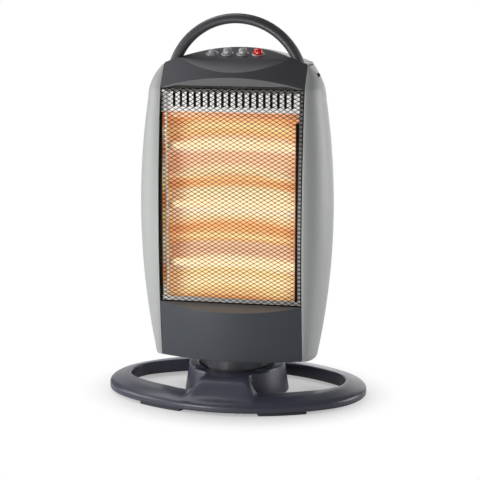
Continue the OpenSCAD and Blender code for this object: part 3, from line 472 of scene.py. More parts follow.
class Parts(Enum):
    """What a selection in edit mode is made of."""

    VERTS = (True, False, False)
    EDGES = (False, True, False)
    FACES = (False, False, True)


def choose(*objects: bpy.types.Object) -> None:
    """Selects these objects and nothing else, in object mode.

    Args:
        objects: The objects; the last one is active.
    """
    if bpy.context.object and bpy.context.object.mode != "OBJECT":
        bpy.ops.object.mode_set(mode="OBJECT")
    for other in list(bpy.context.selected_objects):
        other.select_set(False)
    for obj in objects:
        obj.select_set(True)
        bpy.context.view_layer.objects.active = obj


def settle(obj: bpy.types.Object) -> None:
    """Puts an object's place, turn and scale into its mesh."""
    choose(obj)
    bpy.ops.object.transform_apply(location=True, rotation=True, scale=True)


def started(primitive: Callable, scale: Place = (1, 1, 1), **settings: object) -> bpy.types.Object:
    """A new primitive, selected alone, with its place in its mesh.

    Args:
        primitive: The operator that adds it.
        scale: Its scale along its own axes.
        settings: The operator's settings.

    Returns:
        The primitive.
    """
    choose()
    primitive(**settings)
    obj = bpy.context.object
    obj.scale = scale
    settle(obj)
    return obj


@contextmanager
def editing(obj: bpy.types.Object, parts: Parts = Parts.FACES) -> Iterator[None]:
    """Opens a mesh in edit mode with nothing selected, and closes it at the end.

    Args:
        obj: The mesh object.
        parts: What is selected.

    Yields:
        Nothing; operators act on obj meanwhile.
    """
    choose(obj)
    bpy.ops.object.mode_set(mode="EDIT")
    bpy.context.tool_settings.mesh_select_mode = parts.value
    bpy.ops.mesh.select_all(action="DESELECT")
    yield
    bpy.ops.object.mode_set(mode="OBJECT")


def pick(obj: bpy.types.Object, test: Test) -> int:
    """Selects what passes a test, and nothing else, in the mesh that is being edited.

    Args:
        obj: The mesh object.
        test: Takes a place and a normal; for an edge, its middle and its run.

    Returns:
        How many were selected.
    """
    bpy.ops.mesh.select_all(action="DESELECT")
    bm = bmesh.from_edit_mesh(obj.data)
    bm.normal_update()
    parts = Parts(tuple(bpy.context.tool_settings.mesh_select_mode))
    if parts is Parts.VERTS:
        items = [(v, v.co, v.normal) for v in bm.verts]
    elif parts is Parts.EDGES:
        items = [(e, (e.verts[0].co + e.verts[1].co) / 2, e.verts[1].co - e.verts[0].co) for e in bm.edges]
    else:
        items = [(f, f.calc_center_median(), f.normal) for f in bm.faces]
    found = [item for item, at, normal in items if test(at, normal)]
    for item in found:
        item.select_set(True)
    bm.select_flush_mode()
    bmesh.update_edit_mesh(obj.data)
    return len(found)


def cut(point: Place, normal: Place, **settings: bool) -> None:
    """Cuts all of the mesh that is being edited along a plane."""
    bpy.ops.mesh.select_all(action="SELECT")
    bpy.ops.mesh.bisect(plane_co=point, plane_no=normal, **settings)


def modify(obj: bpy.types.Object, kind: str, **settings: object) -> None:
    """Adds a modifier and applies it.

    Args:
        obj: The mesh object.
        kind: The modifier's type.
        settings: The modifier's settings.
    """
    choose(obj)
    modifier = obj.modifiers.new("step", kind)
    for key, value in settings.items():
        setattr(modifier, key, value)
    bpy.ops.object.modifier_apply(modifier=modifier.name)


def round_off(obj: bpy.types.Object, width: float, angle: float = 30) -> None:
    """Bevels the edges that are sharper than the angle in degrees."""
    modify(obj, "BEVEL", width=width, segments=2, limit_method="ANGLE", angle_limit=math.radians(angle))


def face_outwards(obj: bpy.types.Object) -> None:
    """Merges doubled points, and turns all faces outwards.

    Args:
        obj: The mesh object.
    """
    with editing(obj):
        bpy.ops.mesh.select_all(action="SELECT")
        bpy.ops.mesh.remove_doubles(threshold=HAIR)
        bpy.ops.mesh.normals_make_consistent(inside=False)


def finished(obj: bpy.types.Object, name: str, angle: float = 40) -> bpy.types.Object:
    """A modelled piece with its name and its shading.

    Args:
        obj: The piece.
        name: Its name.
        angle: Edges sharper than this many degrees stay sharp.

    Returns:
        The piece.
    """
    choose(obj)
    bpy.ops.object.shade_smooth_by_angle(angle=math.radians(angle))
    obj.name = obj.data.name = name
    return obj


def joined(pieces: Sequence[bpy.types.Object]) -> bpy.types.Object:
    """Joins pieces into one object.

    Args:
        pieces: The pieces; the last one takes up the others.

    Returns:
        The object.
    """
    choose(*pieces)
    bpy.ops.object.join()
    return bpy.context.object


def copied(obj: bpy.types.Object, shift: Place = (0, 0, 0), scale: Place = (1, 1, 1)) -> bpy.types.Object:
    """A copy with its own mesh.

    Args:
        obj: The piece to copy.
        shift: How far the copy is moved.
        scale: The copy's scale about the origin.

    Returns:
        The copy.
    """
    choose(obj)
    bpy.ops.object.duplicate(linked=False)
    twin = bpy.context.object
    twin.location = shift
    twin.scale = scale
    settle(twin)
    return twin


def from_node(node: str, name: str, angle: float = 32) -> bpy.types.Object:
    """A welded and smoothly shaded copy of a CAD node's mesh.

    Args:
        node: The CAD node.
        name: Name of the copy.
        angle: Edges sharper than this many degrees stay sharp.

    Returns:
        The copy.
    """
    obj = bpy.data.objects.new(name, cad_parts[node].data.copy())
    bpy.context.scene.collection.objects.link(obj)
    with editing(obj):
        bpy.ops.mesh.select_all(action="SELECT")
        bpy.ops.mesh.remove_doubles(threshold=0.004 * MM)
        bpy.ops.mesh.customdata_custom_splitnormals_clear()
    return finished(obj, name, angle)


def deliver(obj: bpy.types.Object, material: bpy.types.Material, nodes: Sequence[str] = (),
            body: str = "head") -> bpy.types.Object:
    """Dresses a finished piece and hands it over.

    Args:
        obj: The piece, with its place in its mesh.
        material: Its material.
        nodes: CAD nodes that it stands for.
        body: The body that it moves with.

    Returns:
        The piece.
    """
    obj.data.materials.clear()
    obj.data.materials.append(material)
    for polygon in obj.data.polygons:
        polygon.material_index = 0
    if nodes:
        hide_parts(*nodes)
    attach(obj, body)
    log.info("%s: %d faces on %s", obj.name, len(obj.data.polygons), body)
    return obj


def face(obj: bpy.types.Object, material: bpy.types.Material, test: Test) -> None:
    """Gives some faces of a delivered piece a second material.

    Args:
        obj: The piece.
        material: The second material.
        test: Takes a face's place and normal.
    """
    obj.data.materials.append(material)
    for polygon in obj.data.polygons:
        if test(polygon.center, polygon.normal):
            polygon.material_index = 1


def dress(material: bpy.types.Material, *nodes: str) -> None:
    """Gives CAD nodes that stay as they are a material.

    Args:
        material: The material.
        nodes: The nodes' names.
    """
    for name in nodes:
        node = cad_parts[name]
        node.data.materials.clear()
        node.data.materials.append(material)
        log.info("%s: CAD node, %s", name, material.name)


# ---------------------------------------------------------------------------
# The heater's lines
# ---------------------------------------------------------------------------


@dataclass(frozen=True)
class HeadLines:
    """The housing's side profile and the heights and width that its pieces share."""

    width: float = 190 * MM
    foot_z: float = 54 * MM
    guard_z0: float = 129 * MM
    guard_z1: float = 410 * MM
    corner_z: float = 441 * MM
    crest_z: float = 223 * MM
    radius: float = 1100 * MM
    front: float = 48 * MM
    rear: float = 58 * MM
    lean: float = 22 * MM
    rear_lean: float = 8 * MM
    wall: float = 2.4 * MM

    def depth(self, z: float, full: float) -> float:
        """Distance of a face from the swivel axis at a height, where full is its greatest distance."""
        return full - self.radius + math.sqrt(self.radius ** 2 - (z - self.crest_z) ** 2)

    def up_cap(self, z: float) -> float:
        """How far up the cap a height lies: 0 at the guard's top and below it, 1 at the cap's corner."""
        return max(0.0, z - self.guard_z1) / (self.corner_z - self.guard_z1)

    def front_y(self, z: float) -> float:
        """Place of the front at a height, cap included."""
        return -self.depth(min(z, self.guard_z1), self.front) + self.lean * self.up_cap(z)

    def rear_y(self, z: float) -> float:
        """Place of the back at a height, cap included."""
        return self.depth(min(z, self.guard_z1), self.rear) - self.rear_lean * self.up_cap(z)


LINES = HeadLines()


# ---------------------------------------------------------------------------
# Sub-assemblies
# ---------------------------------------------------------------------------


@dataclass
class RingBase:
    """The oval ring, its hub and bridges, the rubber pads and the turntable in the hub."""

    skin_step: float = 1.3 * MM
    skin_rounds: int = 8
    skin_pull: float = 0.5
    least_share: float = 0.01
    kept_share: float = 0.6
    foot_edge: float = 6 * MM
    apron_rounds: int = 60
    apron_x: Tuple[float, float] = (84 * MM, 52 * MM)
    apron_near: Tuple[float, float] = (54 * MM, 66 * MM)
    apron_far: Tuple[float, float] = (117 * MM, 104 * MM)
    apron_low: Tuple[float, float] = (10 * MM, 18 * MM)
    half_sizes: Tuple[float, float] = (175 * MM, 119 * MM)
    shoulder: Tuple[float, float] = (0.84, 1.0)
    shoulder_drop: float = 4 * MM
    shoulder_foot: Tuple[float, float] = (6 * MM, 20 * MM)
    plastic: Moulding = Moulding("base_moulding", (0.043, 0.044, 0.067), roughness=0.36,
                                 grain_depth=0.02 * MM, coat=0.12, edge=1.4 * MM)
    rubber: Moulding = Moulding("pad_rubber", (0.036, 0.036, 0.044), roughness=0.75, grain=0.9 * MM,
                                edge=0.6 * MM)
    collar_plastic: Moulding = Moulding("collar_moulding", (0.034, 0.035, 0.044), roughness=0.33,
                                        grain_depth=0.02 * MM, coat=0.1, edge=1.0 * MM)

    def beyond_shoulder(self, at: Vector) -> float:
        """How far out a point of the ring lies, from 0 to 1 at the rim; its top slopes down by this share."""
        out = math.hypot(at.x / self.half_sizes[0], at.y / self.half_sizes[1])
        return rise(out, *self.shoulder) * rise(at.z, *self.shoulder_foot)

    def on_apron(self, at: Vector) -> float:
        """How far a point lies within one of the two aprons between the hub and the ring, from 0 to 1."""
        return (rise(abs(at.x), *self.apron_x) * rise(abs(at.y), *self.apron_near)
                * rise(abs(at.y), *self.apron_far) * rise(at.z, *self.apron_low))

    def soften(self, obj: bpy.types.Object, name: str, weight: Weight, rounds: int) -> None:
        """Smooths a stretch of the skin.

        Args:
            obj: The mesh object.
            name: Name of the stretch.
            weight: Gives a point's share in it by the point's place.
            rounds: How often it is smoothed.
        """
        group = obj.vertex_groups.new(name=name)
        for v in obj.data.vertices:
            share = weight(v.co)
            if share > self.least_share:
                group.add([v.index], share, "REPLACE")
        modify(obj, "SMOOTH", factor=self.skin_pull, iterations=rounds, vertex_group=name)

    def build(self) -> None:
        """Dresses the base, the pads and the collar."""
        skin = from_node("base", "ring_base")
        # the moulding's creases are rounded off as one skin, and most of all where the aprons meet the hub
        modify(skin, "REMESH", mode="VOXEL", voxel_size=self.skin_step)
        for v in skin.data.vertices:
            v.co.z -= self.shoulder_drop * self.beyond_shoulder(v.co)
        self.soften(skin, "above_foot", lambda at: float(at.z > self.foot_edge), self.skin_rounds)
        self.soften(skin, "aprons", self.on_apron, self.apron_rounds)
        modify(skin, "DECIMATE", ratio=self.kept_share)
        deliver(finished(skin, "ring_base", 60), self.plastic.material(), ["base"], "base")
        deliver(from_node("foot_pads", "rubber_pads"), self.rubber.material(), ["foot_pads"],
                "base")
        deliver(from_node("swivel_collar", "turntable"), self.collar_plastic.material(),
                ["swivel_collar"])


@dataclass
class SideCheeks:
    """The two silver side panels, bulged and rounded off at the top."""

    cheek: float = 33.5 * MM
    outline_radius: float = 960 * MM
    widest_z: float = 250 * MM
    corner_radius: float = 59 * MM
    corner_left: float = 3
    middle_y: float = -4 * MM
    fullness: float = 0.9
    least_bulge: float = 0.2 * MM
    rows: int = 40
    corner_rows: int = 16
    corner_rounds: int = 8
    columns: int = 48
    plug_level: int = 51
    plug_column: float = 0.44
    plug_radius: float = 3.2 * MM
    plug_depth: float = 1.1 * MM
    plug_round: float = 0.3 * MM
    panel_round: float = 0.5 * MM
    paint: FlakePaint = FlakePaint("silver_paint", (0.43, 0.44, 0.43))
    plug_rubber: Moulding = Moulding("plug_rubber", (0.012, 0.012, 0.013), roughness=0.55, edge=0.3 * MM)

    def half_width(self, z: float) -> float:
        """Half width of the housing at a height, below its corner."""
        r = self.outline_radius
        return LINES.width / 2 + self.cheek - r + math.sqrt(r * r - (z - self.widest_z) ** 2)

    def levels(self) -> List[Tuple[float, float]]:
        """(half width, height) of each level, from the foot to the end of the top corner's arc.

        Returns:
            The levels.
        """
        r = self.corner_radius
        middle_z = LINES.corner_z - r
        # the arc starts where it meets the outline, which is found by going round a few times
        for _ in range(self.corner_rounds):
            corner_x = self.half_width(middle_z) - r
            turn = math.acos((LINES.width / 2 - corner_x) / r)
            middle_z = LINES.corner_z - r * math.sin(turn)
        last = turn - math.radians(self.corner_left)
        low = [(self.half_width(z), z) for z in
               (LINES.foot_z + (middle_z - LINES.foot_z) * i / self.rows for i in range(self.rows + 1))]
        arc = [last * i / self.corner_rows for i in range(1, self.corner_rows + 1)]
        high = [(corner_x + r * math.cos(a), middle_z + r * math.sin(a)) for a in arc]
        return low + high

    def on_bulge(self, column: float, half: float, z: float) -> Vector:
        """A point on the right panel's outside.

        Args:
            column: Its share of the way from the front edge to the back edge.
            half: Half width of the housing at its height.
            z: Its height.

        Returns:
            The point.
        """
        inner = LINES.width / 2
        a = math.pi * column
        out = math.sin(a) ** self.fullness if 0 < column < 1 else 0.0
        side = LINES.front_y(z) - self.middle_y if math.cos(a) > 0 else self.middle_y - LINES.rear_y(z)
        x = inner + max(self.least_bulge, half - inner) * out
        return Vector((x, self.middle_y + side * math.cos(a), z))

    def plug(self) -> bpy.types.Object:
        """The dark plug in the right panel's upper corner: a bevelled disc sunk into the bulge.

        Returns:
            The plug.
        """
        low, high = self.levels()[self.plug_level:self.plug_level + 2]
        at = self.on_bulge(self.plug_column, *low)
        normal = (self.on_bulge(self.plug_column + 0.01, *low) - at).cross(
            self.on_bulge(self.plug_column, *high) - at)
        obj = started(bpy.ops.mesh.primitive_cylinder_add, vertices=32, radius=self.plug_radius,
                      depth=self.plug_depth)
        round_off(obj, self.plug_round)
        obj.rotation_euler = normal.to_track_quat("Z", "Y").to_euler()
        obj.location = at
        settle(obj)
        return finished(obj, "corner_plug")

    def panel(self) -> bpy.types.Object:
        """The right panel: a grid that is laid over the bulge and given its wall.

        Returns:
            The panel.
        """
        levels = self.levels()
        last = len(levels) - 1
        obj = started(bpy.ops.mesh.primitive_grid_add, x_subdivisions=self.columns, y_subdivisions=last,
                      size=2)
        for v in obj.data.vertices:
            v.co = self.on_bulge((v.co.x + 1) / 2, *levels[round((v.co.y + 1) / 2 * last)])
        face_outwards(obj)
        with editing(obj):
            if pick(obj, lambda at, n: n.x < -0.3) > len(obj.data.polygons) / 2:
                bpy.ops.mesh.select_all(action="SELECT")
                bpy.ops.mesh.flip_normals()
        with editing(obj, Parts.EDGES):
            # the underside is a flat floor, as on the moulding
            if pick(obj, lambda at, n: at.z < LINES.foot_z + HAIR):
                bpy.ops.mesh.edge_face_add()
        modify(obj, "SOLIDIFY", thickness=LINES.wall, offset=-1.0, use_even_offset=True)
        round_off(obj, self.panel_round, 50)
        return finished(obj, "cheek_right")

    def build(self) -> None:
        """Builds both panels and the plug."""
        paint = self.paint.material()
        right = self.panel()
        left = copied(right, scale=(-1, 1, 1))
        face_outwards(left)
        deliver(right, paint, ["side_panel_right"])
        deliver(finished(left, "cheek_left"), paint, ["side_panel_left"])
        deliver(self.plug(), self.plug_rubber.material())


@dataclass
class Housing:
    """The lower panel with its sill, the cap with its visor, the rear cover and the cord's inlet."""

    sill_high: float = 22 * MM
    visor_gap: float = 8 * MM
    lower_plastic: Moulding = Moulding("lower_panel_moulding", (0.046, 0.052, 0.064), roughness=0.36,
                                       grain_depth=0.018 * MM, edge=0.8 * MM)
    cap_plastic: Moulding = Moulding("cap_moulding", (0.070, 0.068, 0.079), roughness=0.34,
                                     grain_depth=0.018 * MM, edge=0.9 * MM)
    rear_plastic: Moulding = Moulding("rear_moulding", (0.045, 0.045, 0.052), roughness=0.5, grain=0.8 * MM,
                                      grain_depth=0.05 * MM)
    # painted light: a lighter grey for the visor, which looks down and forwards at the bright floor
    visor_painted_light: Moulding = Moulding("visor_painted_light", (0.158, 0.160, 0.162), roughness=0.34,
                                    grain_depth=0.018 * MM, edge=0.9 * MM)
    # painted light: a lighter grey for the sill, the facet under the guard that looks up and forwards
    sill_painted_light: Moulding = Moulding("sill_painted_light", (0.19, 0.175, 0.165), roughness=0.34, grain_depth=0.018 * MM,
                                   edge=0.8 * MM)
    grommet_rubber: Moulding = Moulding("grommet_rubber", (0.015, 0.015, 0.016), roughness=0.6, edge=0.6 * MM)
    screw_steel: Metal = Metal("black_screw_steel", (0.06, 0.06, 0.065), roughness=0.38)

    def on_sill(self, at: Vector, normal: Vector) -> bool:
        """Whether a face of the lower panel is on the sill under the guard, which looks up and forwards."""
        return normal.z > 0.35 and normal.y < -0.2 and at.z > LINES.guard_z0 - self.sill_high

    def on_visor(self, at: Vector, normal: Vector) -> bool:
        """Whether a face of the cap is on the visor over the guard, which looks down and forwards."""
        return normal.z < -0.5 and normal.y < -0.3 and at.z < LINES.corner_z - self.visor_gap

    def build(self) -> None:
        """Dresses the shells, and gives the sill and the visor a lighter grey, which is painted light: the
        facets are picked by the way they face.
        """
        shells = [deliver(from_node(node, name, angle), finish.material(), [node])
                  for node, name, angle, finish, slot in (
                      ("lower_panel", "lower_front", 12, self.lower_plastic, "panel_plastic"),
                      ("top_cap", "cap", 12, self.cap_plastic, "cap_plastic"),
                      ("rear_cover", "rear_shell", 32, self.rear_plastic, "rear_plastic"),
                      ("cord_grommet", "inlet_grommet", 32, self.grommet_rubber, "black_rubber"))]
        # painted light: the sill's and the visor's faces take the lighter grey
        face(shells[0], self.sill_painted_light.material(), self.on_sill)
        face(shells[1], self.visor_painted_light.material(), self.on_visor)
        dress(self.screw_steel.material(), "rear_screws")


@dataclass
class ArchHandle:
    """The carrying handle: a rounded section swept round an arch."""

    outer: float = 95 * MM
    thick: float = 13 * MM
    deep: float = 19 * MM
    centre: Tuple[float, float, float] = (0, -2 * MM, 410 * MM)
    half_angle: float = 70
    steps: int = 96
    ridge_deep: float = 1.2 * MM
    ridge_width: float = 0.72
    plastic: Moulding = Moulding("handle_moulding", (0.052, 0.052, 0.058), roughness=0.46,
                                 grain_depth=0.018 * MM, coat=0.1)

    def build(self) -> None:
        """Sweeps the section from one leg to the other."""
        middle_y, top = self.centre[1], self.centre[2] + self.outer
        obj = started(bpy.ops.mesh.primitive_circle_add, vertices=28, radius=self.thick / 2, rotation=ALONG_X,
                      location=(0, middle_y, top - self.thick / 2))
        with editing(obj, Parts.VERTS):
            for side in (-1, 1):
                pick(obj, lambda at, n: (at.y - middle_y) * side > HAIR)
                bpy.ops.transform.translate(value=(0, side * (self.deep - self.thick) / 2, 0))
            # a soft ridge along the outside of the arch
            pick(obj, lambda at, n: at.z > top - self.ridge_deep)
            bpy.ops.transform.resize(value=(1, self.ridge_width, 1), center_override=(0, middle_y, top))
            bpy.ops.mesh.select_all(action="SELECT")
            bpy.ops.transform.rotate(value=math.radians(self.half_angle), orient_axis="Y",
                                     center_override=self.centre)
            # the sweep runs from the side that the section is on to the other one
            start = next(iter(bmesh.from_edit_mesh(obj.data).verts)).co
            sweep = math.copysign(2 * math.radians(self.half_angle), start.x)
            bpy.ops.mesh.spin(steps=self.steps, angle=sweep, center=self.centre, axis=(0, 1, 0))
        with editing(obj, Parts.EDGES):
            bpy.ops.mesh.select_non_manifold()
            bpy.ops.mesh.fill_holes(sides=0)
        face_outwards(obj)
        deliver(finished(obj, "arch_handle", 50), self.plastic.material(), ["handle"])


@dataclass
class HeatBank:
    """The reflector, the end plates' lips, the glowing tubes with their coils and ends, and their clips.

    A lip's three values are the place of its turned edge, the place of its free edge and its top. The streaks
    and gleams are the light in the reflector and in the left lip, by their heights in millimetres.
    """

    tube_z: Tuple[float, ...] = (177 * MM, 255 * MM, 333 * MM)
    tube_y: float = -16.18 * MM
    coil_half: float = 80 * MM
    coil_radius: float = 1.9 * MM
    wire_radius: float = 0.38 * MM
    pitch: float = 1.35 * MM
    tail: float = 16 * MM
    tail_lap: float = 0.5 * MM
    left_lip: Tuple[float, float, float] = (-93.6 * MM, -86.5 * MM, 407 * MM)
    right_lip: Tuple[float, float, float] = (88.0 * MM, 83.6 * MM, 367 * MM)
    lip_foot: float = 132 * MM
    lip_y: float = -31.4 * MM
    lip_sheet: float = 0.5 * MM
    lip_turn: float = 4 * MM
    lip_edge: float = 1.8 * MM
    fine_round: float = 0.15 * MM
    lit_foot: float = 131 * MM
    lit_top: float = 379 * MM
    no_end: float = 200 * MM
    gleam_strength: float = 0.6
    streaks: Tuple[Tuple[float, Heat], ...] = (
        (131, Heat.EMBER), (138, Heat.AMBER), (145, Heat.STRAW), (153, Heat.CREAM), (166, Heat.STRAW),
        (175, Heat.WHITE), (182, Heat.CREAM), (188, Heat.ROSE), (204, Heat.ROSE), (210, Heat.AMBER),
        (216, Heat.STRAW), (222, Heat.AMBER), (229, Heat.EMBER), (240, Heat.CREAM), (250, Heat.WHITE),
        (260, Heat.CREAM), (276, Heat.CREAM), (283, Heat.AMBER), (289, Heat.EMBER), (294, Heat.AMBER),
        (301, Heat.CREAM), (311, Heat.ROSE), (324, Heat.ROSE), (332, Heat.WHITE), (338, Heat.CREAM),
        (344, Heat.ROSE), (349, Heat.AMBER), (360, Heat.STRAW), (367, Heat.AMBER), (374, Heat.EMBER))
    gleams: Tuple[Tuple[float, Heat], ...] = (
        (131, Heat.CREAM), (150, Heat.WHITE), (163, Heat.AMBER), (177, Heat.EMBER), (190, Heat.ROSE),
        (217, Heat.CREAM), (240, Heat.AMBER), (254, Heat.STRAW), (266, Heat.EMBER), (276, Heat.EMBER),
        (290, Heat.STRAW), (312, Heat.CREAM), (325, Heat.ROSE), (338, Heat.EMBER), (352, Heat.ROSE),
        (362, Heat.CREAM), (371, Heat.EMBER))
    mirror: Metal = Metal("polished_sheet", (0.90, 0.88, 0.85), roughness=0.20, grain=Grain.ALONG_X,
                          depth=0.01 * MM, blotch=0.06)
    glass: HotGlass = HotGlass("hot_quartz", (1.0, 0.75, 0.5), (1.0, 0.80, 0.50), 0.60, 84 * MM)
    wire: HotWire = HotWire("hot_coil", (1.0, 0.78, 0.46), 2.2)
    # painted shade: a dark brown for the right lip, which lies in shade and mirrors the dark
    shaded_lip_steel: Metal = Metal("painted_shade_lip_steel", (0.055, 0.022, 0.016), roughness=0.5,
                                 grain=Grain.ALONG_Z, blotch=0.5)
    # painted highlight: a whitish strip that glows along the left lip's free edge, where the lamps catch it
    painted_lit_edge: Moulding = Moulding("lit_sheet_edge", (0.80, 0.79, 0.76), roughness=0.5,
                                   glow=(1.0, 0.93, 0.82), glow_strength=0.45)
    ceramic: Moulding = Moulding("end_ceramic", (0.72, 0.70, 0.64), roughness=0.7, grain=0.6 * MM,
                                 edge=0.4 * MM)
    clip_steel: Metal = Metal("clip_steel", (0.62, 0.61, 0.6), roughness=0.3)

    def lip(self, name: str, turned: float, free: float, high: float) -> bpy.types.Object:
        """A strip along the front edge of an end plate, with its outer edge turned back.

        Args:
            name: Its name.
            turned: Place of its turned edge.
            free: Place of its free edge.
            high: Height of its top.

        Returns:
            The strip.
        """
        middle = ((turned + free) / 2, self.lip_y, (self.lip_foot + high) / 2)
        obj = started(bpy.ops.mesh.primitive_plane_add, (abs(free - turned), high - self.lip_foot, 1), size=1,
                      rotation=UPRIGHT, location=middle)
        with editing(obj, Parts.EDGES):
            pick(obj, lambda at, n: abs(at.x - turned) < HAIR)
            bpy.ops.mesh.extrude_edges_move(TRANSFORM_OT_translate={"value": (0, self.lip_turn, 0)})
            cut((free - math.copysign(self.lip_edge, free - turned), 0, 0), (1, 0, 0))
            if high > self.lit_top:
                cut((0, 0, self.lit_top), (0, 0, 1))
        face_outwards(obj)
        modify(obj, "SOLIDIFY", thickness=self.lip_sheet, offset=0)
        round_off(obj, self.fine_round)
        return finished(obj, name)

    def coil(self, name: str, z: float) -> bpy.types.Object:
        """One heating coil: a wire section screwed along the tube's axis, with straight tails.

        Args:
            name: Its name.
            z: Height of its tube.

        Returns:
            The coil.
        """
        turns = int(2 * self.coil_half / self.pitch)
        wound = started(bpy.ops.mesh.primitive_circle_add, vertices=6, radius=self.wire_radius,
                        rotation=UPRIGHT, location=(-self.coil_half, 0, self.coil_radius))
        modify(wound, "SCREW", axis="X", screw_offset=self.pitch, iterations=turns, steps=12, render_steps=12,
               use_merge_vertices=False)
        tails = []
        for side in (-1, 1):
            tail = started(bpy.ops.mesh.primitive_cylinder_add, vertices=8, radius=self.wire_radius,
                           depth=self.tail, rotation=ALONG_X,
                           location=(side * (self.coil_half + self.tail / 2 - self.tail_lap), 0, 0))
            modify(tail, "BEVEL", width=self.fine_round, segments=1)
            tails.append(tail)
        whole = joined([*tails, wound])
        whole.location = (0, self.tube_y, z)
        settle(whole)
        face_outwards(whole)
        return finished(whole, name, 60)

    def build(self) -> None:
        """Builds the coils and lips, and dresses the reflector, tubes, ends and clips."""
        mirror, glass, wire = self.mirror.material(), self.glass.material(), self.wire.material()
        span = (self.lit_foot, self.lit_top)
        lit = GlowingMirror("lit_trough_sheet", *span, self.coil_half, self.streaks)
        shine = GlowingMirror("lit_end_sheet", *span, self.no_end, self.gleams, strength=self.gleam_strength)
        sheet = deliver(from_node("reflector", "trough_sheet", 30), lit.material(),
                        ["reflector"])
        face(sheet, mirror, lambda at, n: n.y >= -0.2)
        dress(mirror, "reflector_end_left", "reflector_end_right", "heat_shield")
        left = deliver(self.lip("end_lip_left", *self.left_lip), shine.material())
        # painted highlight along the left lip's free edge
        lit_edge_x = self.left_lip[1] - self.lip_edge
        face(left, self.painted_lit_edge.material(), lambda at, n: at.x > lit_edge_x and at.z < self.lit_top)
        # painted shade: the right lip takes the dark brown steel
        deliver(self.lip("end_lip_right", *self.right_lip), self.shaded_lip_steel.material())
        for which, z in zip(("lower", "middle", "upper"), self.tube_z):
            tube = from_node(f"tube_{which}", f"quartz_{which}", 40)
            deliver(tube, glass, [f"tube_{which}"])
            deliver(self.coil(f"coil_{which}", z), wire, [f"filament_{which}"])
        dress(self.ceramic.material(), "ceramic_ends", "thermal_cutout")
        dress(self.clip_steel.material(), "tube_clips", "retaining_clip")


